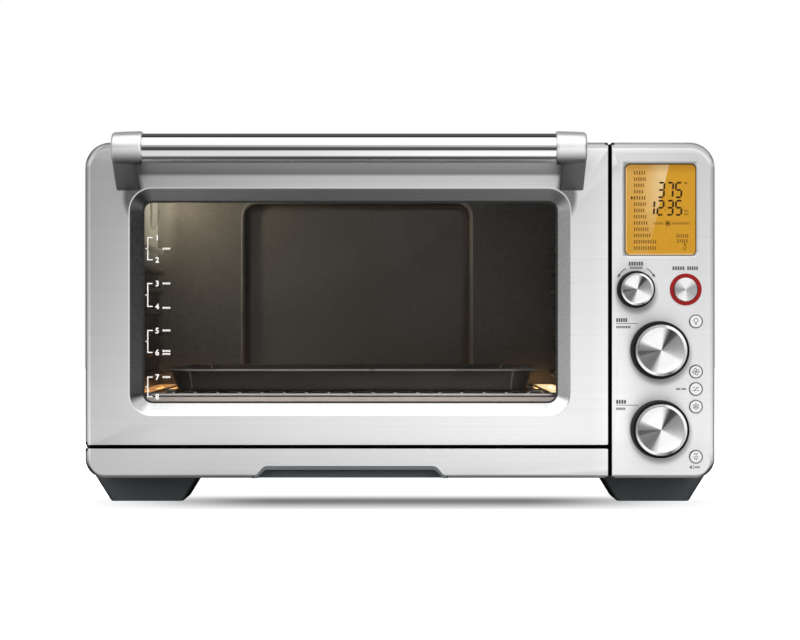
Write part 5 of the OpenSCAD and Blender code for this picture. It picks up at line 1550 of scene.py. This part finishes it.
class OVEN_OT_display(bpy.types.Operator):
    """Amber display face with its figures and marks behind the clear lens"""

    bl_idname = "oven.display"
    bl_label = "Display"

    def execute(self, context):
        """Make the pane, the lit face in its dark border and the segments just in front of the face."""
        box = front_box(LENS_LOW, LENS_HIGH)
        front = LENS_HIGH.y - 0.45 * MM
        pane = slab(outline(shrink(box, 0.15 * MM), 4.3 * MM), LENS_LOW.y, LENS_LOW.y + 0.7 * MM)
        make_piece("display_pane", [pane], [lens_glass], "oven", ["display_lens"])
        border = slab(outline(box, DISPLAY_CORNER), front + 0.06 * MM, front + 0.3 * MM)
        make_piece("display_border", [border], [digit_ink], "oven")
        lit = shrink(box, (0.85 * MM, 0.6 * MM, 0.65 * MM, 0.95 * MM))
        face = slab(outline(lit, 4.0 * MM), front, front + 0.2 * MM)
        make_piece("display_face", [face], [display_amber], "oven")
        centre = (LENS_CENTRE.x, LENS_CENTRE.z)
        y0, y1 = front - 0.12 * MM, front + 0.02 * MM
        make_piece("display_figures", self.figures(centre, y0, y1), [digit_ink], "oven")
        make_piece("display_list", self.list_marks(centre, y0, y1), [list_ink], "oven")
        return {"FINISHED"}

    @staticmethod
    def figures(centre, y0, y1):
        """Readout: three figures over four, a colon, three pointers, a fan mark and two small numbers."""
        parts = []
        rows = (("375", (-2.2, 5.4, 12.9), 10.6, 12.6), ("1235", (-10.8, -2.8, 5.4, 12.9), -4.6, 12.2))
        for figures, places, rise, tall in rows:
            for figure, place in zip(figures, places):
                corner = np.array([place, rise]) * MM + centre
                parts += digit_bars(figure, corner, (5.0 * MM, tall * MM), y0, y1)
        for rise in (-0.3, 3.7):
            dot = np.array([4.3, rise]) * MM + centre
            parts.append(slab(arc_path(dot, 0.45 * MM, 0.0, 330.0, 11), y0, y1))
        pointers = ([(-25.5, 10.1 - 1.6), (-23.2, 10.1), (-25.5, 10.1 + 1.6)],
                    [(20.2, -30.6 + 1.1), (21.2, -30.6 - 1.1), (22.2, -30.6 + 1.1)],
                    [(20.6, 23.4), (22.0, 21.9), (23.4, 23.4)])
        for pointer in pointers:
            parts.append(slab(np.array(pointer) * MM + centre, y0, y1))
        hub = np.array([6.4, -12.0]) * MM + centre
        parts.append(ribbon(arc_path(hub, 2.3 * MM, 0.0, 345.0, 23), 0.35 * MM, y0, y1, True))
        for turn in range(0, 360, 45):
            a = math.radians(turn)
            spoke = np.array([hub, hub + np.array([math.cos(a), math.sin(a)]) * 1.9 * MM])
            parts.append(ribbon(spoke, 0.5 * MM, y0, y1))
        for place, figure in ((17.6, "1"), (20.6, "2")):
            corner = np.array([place, -35.1]) * MM + centre
            parts += digit_bars(figure, corner, (1.5 * MM, 3.0 * MM), y0, y1)
        return parts

    @staticmethod
    def list_marks(centre, y0, y1):
        """Left column of thirteen rows of plain blocks, and the small rows at the right."""
        parts = []
        ends = (10.6, 11.1, 9.4, 8.8, 10.9, 11.2, 9.7, 11.6, 12.5, 13.4, 15.0, 20.2, 19.9)
        rows = [(-22.9, -22.9 + end, 31.7 - place * 5.42, 3.2) for place, end in enumerate(ends)]
        rows += [(-5.4, 2.9, -12.0, 2.2), (10.0, 25.8, -12.0, 2.2), (13.8, 24.9, -22.9, 3.1),
                 (14.7, 24.3, -27.2, 3.1), (20.5, 24.6, -1.2, 1.7), (20.5, 24.6, -4.0, 1.7)]
        for start, end, rise, tall in rows:
            parts += letters(centre, start, end, rise, tall, y0, y1, fill=0.5)
        return parts


class OVEN_OT_panel_marks(bpy.types.Operator):
    """Printed marks beside the dials and buttons"""

    bl_idname = "oven.panel_marks"
    bl_label = "Panel marks"

    def execute(self, context):
        """Print arrows over the select dial, and rules and plain blocks by the controls."""
        y0, y1 = FRONT - shapes().print_height, FRONT + 0.1 * MM
        nodes = ("select_knob", "start_button", "temp_knob", "time_knob", "phase_button", "unit_button")
        select, start, temp, time, phase, unit = (axis_of(node) for node in nodes)
        parts, pale = [], []
        for side in (-1.0, 1.0):
            bend = arc_path((0.0, 3.4 * MM), 16.9 * MM, 60.0, 32.0, 12)
            bend = bend * (side, 1.0) + (select[0] + (0.8 + side * 0.6) * MM, select[1])
            parts.append(ribbon(bend, 0.75 * MM, y0, y1))
            tip, way = bend[-1], (bend[-1] - bend[-3]) / np.linalg.norm(bend[-1] - bend[-3])
            out = np.array([-way[1], way[0]])
            head = np.stack([tip + way * 2.6 * MM, tip - way * 0.8 * MM + out * 1.3 * MM,
                             tip - way * 0.8 * MM - out * 1.3 * MM])
            parts.append(slab(head, y0, y1))
        words = ((select, -5.7, 7.1, 22.3, 3.5, 0), (select, -4.8, 6.4, 18.8, 2.1, 1),
                 (start, -11.4, -0.6, 18.4, 3.2, 0), (start, 1.3, 11.0, 18.4, 3.2, 0),
                 (temp, -37.2, -27.2, 26.0, 3.4, 0), (temp, -37.2, -24.6, 20.0, 2.2, 1),
                 (time, -37.2, -28.2, 23.6, 3.4, 0), (time, -37.2, -29.0, 17.6, 2.2, 1),
                 (unit, -1.0, 3.6, -9.1, 1.6, 1), (phase, -17.0, -13.2, 0.0, 1.7, 0),
                 (phase, -12.3, -8.4, 0.0, 1.7, 0))
        for spot, first, last, rise, tall, fine in words:
            (pale if fine else parts).extend(letters(spot, first, last, rise, tall, y0, y1))
        for spot, rise in ((temp, 23.0), (time, 20.7)):
            rule = np.array([(-37.2, rise), (-18.2, rise)]) * MM + spot
            pale.append(ribbon(rule, 0.55 * MM, y0, y1))
        bell = np.array([(-5.8, -9.1), (-3.6, -10.7), (-3.6, -7.5)]) * MM + unit
        parts.append(slab(bell, y0, y1))
        wave = np.array([(-3.0, -10.3), (-1.9, -10.3), (-1.9, -7.9), (-3.0, -7.9)]) * MM + unit
        pale.append(ribbon(wave, 0.4 * MM, y0, y1))
        make_piece("panel_marks", parts, [panel_ink], "oven")
        make_piece("panel_fine_marks", pale, [fine_ink], "oven")
        return {"FINISHED"}


class OVEN_OT_rack_marks(bpy.types.Operator):
    """Rack numbers and brackets printed on the window"""

    bl_idname = "oven.rack_marks"
    bl_label = "Rack marks"

    def execute(self, context):
        """Print the numbers one to eight, join them in pairs and add small blocks beside them."""
        y1 = GLASS_FRONT + 0.02 * MM
        y0 = GLASS_FRONT - shapes().print_height
        left = middle("door_glass").x - shapes().window_width / 2
        heights = np.array([228.7, 209.4, 188.8, 168.8, 147.9, 128.8, 107.4, 90.4]) * MM + 2.4 * MM
        stem = left + 4.5 * MM
        parts = []
        for place, z in enumerate(heights):
            parts += glyphs(str(place + 1), 4.9 * MM, (stem + 8.2 * MM, z - 2.4 * MM), y0, y1)
        for pair in range(4):
            high, low = heights[2 * pair], heights[2 * pair + 1]
            path = [(stem + 4.2 * MM, high), (stem, high), (stem, low), (stem + 4.2 * MM, low)]
            parts.append(ribbon(path, 0.95 * MM, y0, y1))
            mid = (high + low) / 2
            parts.append(ribbon([(stem - 2.0 * MM, mid), (stem, mid)], 0.95 * MM, y0, y1))
        rows = [(heights[0] + heights[1]) / 2, heights[2], heights[3] - 1.2 * MM, heights[4],
                heights[5] + 1.3 * MM, heights[5] - 1.3 * MM, heights[6]]
        for z in rows:
            parts += letters((stem, z), 12.9, 19.8, 0.0, 1.7, y0, y1, 1.3)
        make_piece("rack_marks", parts, [glass_ink], "door")
        return {"FINISHED"}


def glyphs(words, height, corner, y0, y1):
    """Plain numbers from the built-in font as a flat mesh stood up at a place, given thickness."""
    curve = bpy.data.curves.new("figure", "FONT")
    curve.body = words
    curve.size = height * 1.38
    curve.resolution_u = 3
    curve.align_x = "CENTER"
    curve.extrude = (y1 - y0) / 2
    curve.offset = height * 0.035
    holder = stand("figure", curve)
    seen = holder.evaluated_get(bpy.context.evaluated_depsgraph_get())
    mesh = bpy.data.meshes.new_from_object(seen)
    spots = read(mesh.vertices, "co", 3)
    faces = [list(face.vertices) for face in mesh.polygons]
    bpy.data.objects.remove(holder)
    bpy.data.curves.remove(curve)
    bpy.data.meshes.remove(mesh)
    points = np.column_stack([spots[:, 0] + corner[0], (y0 + y1) / 2 - spots[:, 2],
                              spots[:, 1] + corner[1]])
    return [(points, faces, 0)]


class OVEN_OT_pan(bpy.types.Operator):
    """Roasting pan with drafted walls, soft corners and a rolled rim"""

    bl_idname = "oven.pan"
    bl_label = "Roasting pan"

    def execute(self, context):
        """Loft the pan from its outer sole up to the rim and down to its inner floor."""
        low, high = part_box("roasting_pan")
        box = (low.x, low.y, high.x, high.y)
        tall = (high.z - low.z) / MM
        # Inset from the rim's outer edge and height above the sole, in millimetres.
        outer = ((18.0, 0.0), (14.6, 0.5), (12.8, 2.4), (12.0, 5.0), (9.5, tall * 0.55), (7.0, tall - 3.0))
        rim = ((6.2, tall - 2.2), (1.4, tall - 2.0), (0.4, tall - 1.8), (0.0, tall - 1.0), (0.4, tall - 0.3),
               (1.4, tall), (6.4, tall), (7.6, tall - 0.6))
        inner = ((8.0, tall - 2.0), (10.5, tall * 0.55), (13.0, 5.0), (13.8, 2.8), (15.4, 1.5), (18.6, 1.0))
        rows = []
        for inset, rise in outer + rim + inner:
            radius = max(30.0 - inset, 9.0) * MM
            rows.append(level(outline(shrink(box, inset * MM), radius), low.z + rise * MM))
        # Bands 8 and 9, the rim's rolled outer edge, take the painted highlight.
        make_piece("pan_shell", [two_tone(rows, 8, 10)], [pan_enamel, rim_highlight_enamel], "pan",
                   ["roasting_pan"], 50.0)
        low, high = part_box("wire_rack")
        strip = (low.x + 9.0 * MM, low.z + 1.6 * MM, high.x - 9.0 * MM, low.z + 7.2 * MM)
        apron = slab(outline(strip, 0.5 * MM, 3, 3), low.y + 0.3 * MM, low.y + 0.8 * MM)
        make_piece("rack_apron", [apron], [apron_steel], "rack")
        return {"FINISHED"}


class OVEN_OT_back_wall(bpy.types.Operator):
    """Pressed back wall of the cavity with its soft-edged recess"""

    bl_idname = "oven.back_wall"
    bl_label = "Back wall"

    def execute(self, context):
        """Rows run from the recess's floor over its lip to the wall's rim, then back behind the sheet."""
        low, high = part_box("cavity_back")
        wall = outline(front_box(low, high), 0.5 * MM)
        thick = 1.0 * MM
        deep = high.y - low.y - thick
        centre = middle("door_glass").x
        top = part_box("cavity_top")[0].z - 20.0 * MM
        recess = (centre - 113.0 * MM, top - 190.0 * MM, centre + 113.0 * MM, top)
        rows = self.side(recess, low.y, deep, 5.0 * MM, 8.0 * MM)
        rows += [upright(wall, low.y), upright(wall, low.y + thick)]
        rows += self.side(shrink(recess, -thick), low.y + thick, deep, 4.0 * MM, 9.0 * MM)[::-1]
        # Bands 8 to 11, the recess's rolled lip, take the lighter coat, a painted highlight.
        make_piece("back_wall", [two_tone(rows, 8, 12)], [liner_coat, highlit_lip_coat], "oven",
                   ["cavity_back"])
        return {"FINISHED"}

    @staticmethod
    def side(recess, y, deep, lip, fillet, steps=7):
        """One face of the recess: a fillet of the floor, then a lip that rolls out to the wall."""
        corner = 13.0 * MM
        rows = []
        for lift, inward in quarter(steps):
            inset = fillet * inward
            ring = outline(shrink(recess, inset), max(corner - inset, 2.0 * MM))
            rows.append(upright(ring, y + deep - fillet * lift))
        for outward, sunk in quarter(steps):
            ring = outline(shrink(recess, -lip * outward), corner + lip * outward)
            rows.append(upright(ring, y + lip * sunk))
        return rows


class OVEN_OT_finishes(bpy.types.Operator):
    """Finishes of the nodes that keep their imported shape"""

    bl_idname = "oven.finishes"
    bl_label = "Finishes"

    def execute(self, context):
        """Give each kept node the finish of its slot, or its own."""
        by_slot = {
            "casing_steel": casing_steel, "plain_steel": mill_steel, "coated_steel": liner_coat,
            "liner": liner_coat, "chrome": chrome_wire, "fastener": screw_zinc, "aluminium": cap_aluminium,
            "key_grey": key_steel, "window_glass": window_glass, "display_glass": lens_glass,
            "display": display_amber, "red_ring": start_ring, "quartz": quartz_tube, "ceramic": ceramic,
            "bulb": lamp_glass, "enamel": pan_enamel, "rubber": black_rubber, "dark_plastic": dark_plastic,
            "magnet": magnet_ferrite, "board": board_green, "motor": motor_case,
        }
        own = {"handle_tube": polished_steel, "front_frame": frame_shade_black}
        slots = {row["node"]: row["material_slot"] for row in frame["record"]["subparts"]}
        for name, piece in frame["nodes"].items():
            maker = own.get(name, by_slot[slots[name]])
            piece.data.materials.clear()
            piece.data.materials.append(finish(maker))
        return {"FINISHED"}


class OVEN_OT_stage(bpy.types.Operator):
    """Pale table, studio light and the camera"""

    bl_idname = "oven.stage"
    bl_label = "Stage"

    def execute(self, context):
        """Set up the floor, the world, the lamps and the camera."""
        scene = context.scene
        scene.view_settings.view_transform = "Standard"
        setup = scene.oven_stage
        self.floor()
        self.world(scene)
        self.lamps(setup)
        self.camera(scene, setup)
        return {"FINISHED"}

    @staticmethod
    def floor():
        """Wide pale table top at the height of the foot pads, with a painted contact shadow in front of the
        oven and along its sides.
        """
        z = CAD_BOX[0][2]
        grid = np.linspace(-6.0, 6.0, 3)
        u, v = np.meshgrid(grid, grid, indexing="ij")
        rows = np.stack([u, v, np.full_like(u, z)], -1)
        points, faces, _ = sheet(rows, around=False)
        mesh = bpy.data.meshes.new("table_top")
        mesh.from_pydata(points.tolist(), [], [face[::-1] for face in faces])
        top = stand("table_top", mesh)
        made = Shader("table_white")
        seen = made.add("ShaderNodeLightPath")
        spot = made.place()
        axes = made.parts(spot)
        side = made.math("ABSOLUTE", axes["X"])
        hidden = made.fall(axes["Y"], FRONT + 0.045, FRONT + 0.13, True)
        # Painted contact shadow: for the camera the table's own light drops in a band along the oven's front
        # and along its sides.
        front = made.product(made.rise(axes["Y"], FRONT - 0.095, FRONT + 0.035, True), hidden,
                             made.fall(side, 0.10, 0.30, True))
        flank = made.product(made.fall(side, 0.255, 0.33, True),
                             made.remap(side, 0.0, 0.45, 0.22, 0.25, True),
                             made.rise(axes["Y"], 0.0, 0.1, True), made.fall(axes["Y"], 0.20, 0.30, True))
        dim = made.math("MAXIMUM", front, flank)
        speck = made.tones(made.noise(spot, 60.0, 2.0), (0.3, 0.86), (0.7, 0.90))
        # Painted contact shadow in the table's colour, darkest from just before the oven's front to a little
        # under it.
        painted_contact_shade = made.product(made.rise(axes["Y"], FRONT - 0.12, FRONT - 0.05, True), hidden,
                            made.fall(side, 0.27, 0.36, True))
        made.fix(Base_Color=made.times(speck, made.remap(painted_contact_shade, 1.0, 0.03)),
                 Emission_Strength=made.product(seen.outputs["Is Camera Ray"], made.remap(dim, 1.0, 0.19)),
                 Roughness=0.8, Specular_IOR_Level=0.1, Emission_Color=(1.0, 1.0, 1.0, 1.0))
        ahead = made.place((1.0, 1.0, 0.0), (0.0, FRONT + 0.6, 0.0))
        way = made.add("ShaderNodeVectorMath", {0: ahead}, operation="NORMALIZE").outputs["Vector"]
        off = made.place((0.6, 1.0, 0.0), (0.0, FRONT, 0.0))
        away = made.add("ShaderNodeVectorMath", {0: off}, operation="LENGTH").outputs["Value"]
        gleam = made.add("ShaderNodeEmission", {
            "Color": made.remap(made.walls(made.parts(way)["X"]), 0.45, 1.0),
            "Strength": made.remap(away, 0.55, 1.25, 0.06, 0.20, True)})
        pick = made.add("ShaderNodeMixShader",
                        {"Fac": seen.outputs["Is Glossy Ray"], 1: made.bsdf.outputs["BSDF"],
                         2: gleam.outputs["Emission"]})
        out = next(n for n in made.tree.nodes if n.type == "OUTPUT_MATERIAL")
        made.join(pick.outputs["Shader"], out.inputs["Surface"])
        mesh.materials.append(made.material)

    @staticmethod
    def world(scene):
        """White to the camera; for light and reflections a studio of pale ceiling and darker side walls."""
        world = bpy.data.worlds.new("studio")
        world.use_nodes = True
        scene.world = world
        world.node_tree.nodes.clear()
        made = Graph(world.node_tree)
        axes = made.parts(made.add("ShaderNodeTexCoord").outputs["Generated"])
        ceiling = made.rise(axes["Z"], 0.20, 0.55, True)
        front = made.mix(ceiling, made.walls(axes["X"]), (1.35, 1.35, 1.35, 1.0))
        behind = made.rise(axes["Y"], 0.02, 0.14, True)
        rear = made.remap(made.rise(axes["Z"], 0.35, 0.65, True), 0.50, 0.30)
        room = made.add("ShaderNodeBackground", {"Color": made.mix(behind, front, rear), "Strength": 0.95})
        white = made.add("ShaderNodeBackground", {"Color": (1.0, 1.0, 1.0, 1.0)})
        seen = made.add("ShaderNodeLightPath").outputs["Is Camera Ray"]
        pick = made.add("ShaderNodeMixShader", {
            "Fac": seen, 1: room.outputs["Background"], 2: white.outputs["Background"]})
        made.add("ShaderNodeOutputWorld", {"Surface": pick.outputs["Shader"]})

    @staticmethod
    def lamp(name, place, target, size, power, colour=(1.0, 1.0, 1.0), shiny=True):
        """Soft rectangular lamp aimed at a point."""
        data = bpy.data.lights.new(name, "AREA")
        data.shape = "RECTANGLE"
        data.size, data.size_y = size
        data.energy = power
        data.color = colour
        lamp = stand(name, data)
        lamp.location = place
        lamp.rotation_euler = (Vector(target) - Vector(place)).to_track_quat("-Z", "Y").to_euler()
        lamp.visible_glossy = shiny

    def lamps(self, setup):
        """Key above the front, a fill at each side, the oven's own lamp and the glow of the lower tubes."""
        self.lamp("key", (-0.25, -1.1, 1.5), (0.0, -0.1, 0.15), (1.2, 0.8), setup.key_power, shiny=False)
        self.lamp("fill_left", (-1.6, -1.2, 0.7), (0.0, 0.0, 0.15), (0.9, 1.0), setup.fill_power,
                  shiny=False)
        self.lamp("fill_right", (1.6, -1.2, 0.7), (0.0, 0.0, 0.15), (0.9, 1.0), setup.fill_power,
                  shiny=False)
        self.lamp("back", (0.0, 1.6, 1.2), (0.0, 0.0, 0.15), (1.4, 0.8), setup.fill_power, shiny=False)
        lens = middle("lamp_lens")
        self.lamp("oven_lamp", (lens.x + 14 * MM, lens.y, lens.z + 20 * MM), (-0.11, 0.19, 0.23),
                  (0.02, 0.02), setup.oven_lamp_power, (1.0, 0.88, 0.68), False)
        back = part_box("cavity_back")[0].y
        for x in (CAVITY_X[0] + 20 * MM, CAVITY_X[1] - 20 * MM):
            self.lamp("glow", (x, back - 30 * MM, 88 * MM), (x, back, 86 * MM), (0.03, 0.01),
                      setup.glow_power, (1.0, 0.45, 0.13), False)

    @staticmethod
    def camera(scene, setup):
        """Level camera straight in front of the oven."""
        data = bpy.data.cameras.new("camera")
        data.sensor_width = 36.0
        data.lens = 36.0 * setup.distance / setup.view_width
        camera = stand("camera", data)
        camera.location = (0.0, FRONT - setup.distance, CAD_BOX[0][2] + setup.height)
        camera.rotation_euler = (math.pi / 2, 0.0, 0.0)
        scene.camera = camera


class OVEN_PT_panel(bpy.types.Panel):
    """Sidebar panel with the oven's settings and steps"""

    bl_idname = "OVEN_PT_panel"
    bl_label = "Air fryer oven"
    bl_space_type = "VIEW_3D"
    bl_region_type = "UI"
    bl_category = "Oven"

    def draw(self, context):
        """List the settings, then the steps."""
        scene = context.scene
        for group in (scene.oven_colours, scene.oven_shapes, scene.oven_stage):
            box = self.layout.box()
            for key in group.bl_rna.properties.keys():
                if key not in {"rna_type", "name"}:
                    box.prop(group, key)
        for step in STEPS:
            self.layout.operator(step.bl_idname)


GROUPS = {"oven_colours": OvenColours, "oven_shapes": OvenShapes, "oven_stage": OvenStage}
STEPS = (OVEN_OT_finishes, OVEN_OT_door, OVEN_OT_control_panel, OVEN_OT_drawer, OVEN_OT_handle, OVEN_OT_feet,
         OVEN_OT_dials, OVEN_OT_keys, OVEN_OT_display, OVEN_OT_panel_marks, OVEN_OT_rack_marks, OVEN_OT_pan,
         OVEN_OT_back_wall, OVEN_OT_stage)


def register():
    """Register the classes and hang the settings on the scene."""
    for group in GROUPS.values():
        bpy.utils.register_class(group)
    for key, group in GROUPS.items():
        setattr(bpy.types.Scene, key, PointerProperty(type=group))
    for step in STEPS:
        bpy.utils.register_class(step)
    bpy.utils.register_class(OVEN_PT_panel)


def unregister():
    """Take the classes and settings away again."""
    bpy.utils.unregister_class(OVEN_PT_panel)
    for step in reversed(STEPS):
        bpy.utils.unregister_class(step)
    for key in GROUPS:
        delattr(bpy.types.Scene, key)
    for group in GROUPS.values():
        bpy.utils.unregister_class(group)


def main():
    """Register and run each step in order."""
    register()
    for step in STEPS:
        kind, name = step.bl_idname.split(".")
        getattr(getattr(bpy.ops, kind), name)()


if __name__ == "__main__":
    main()
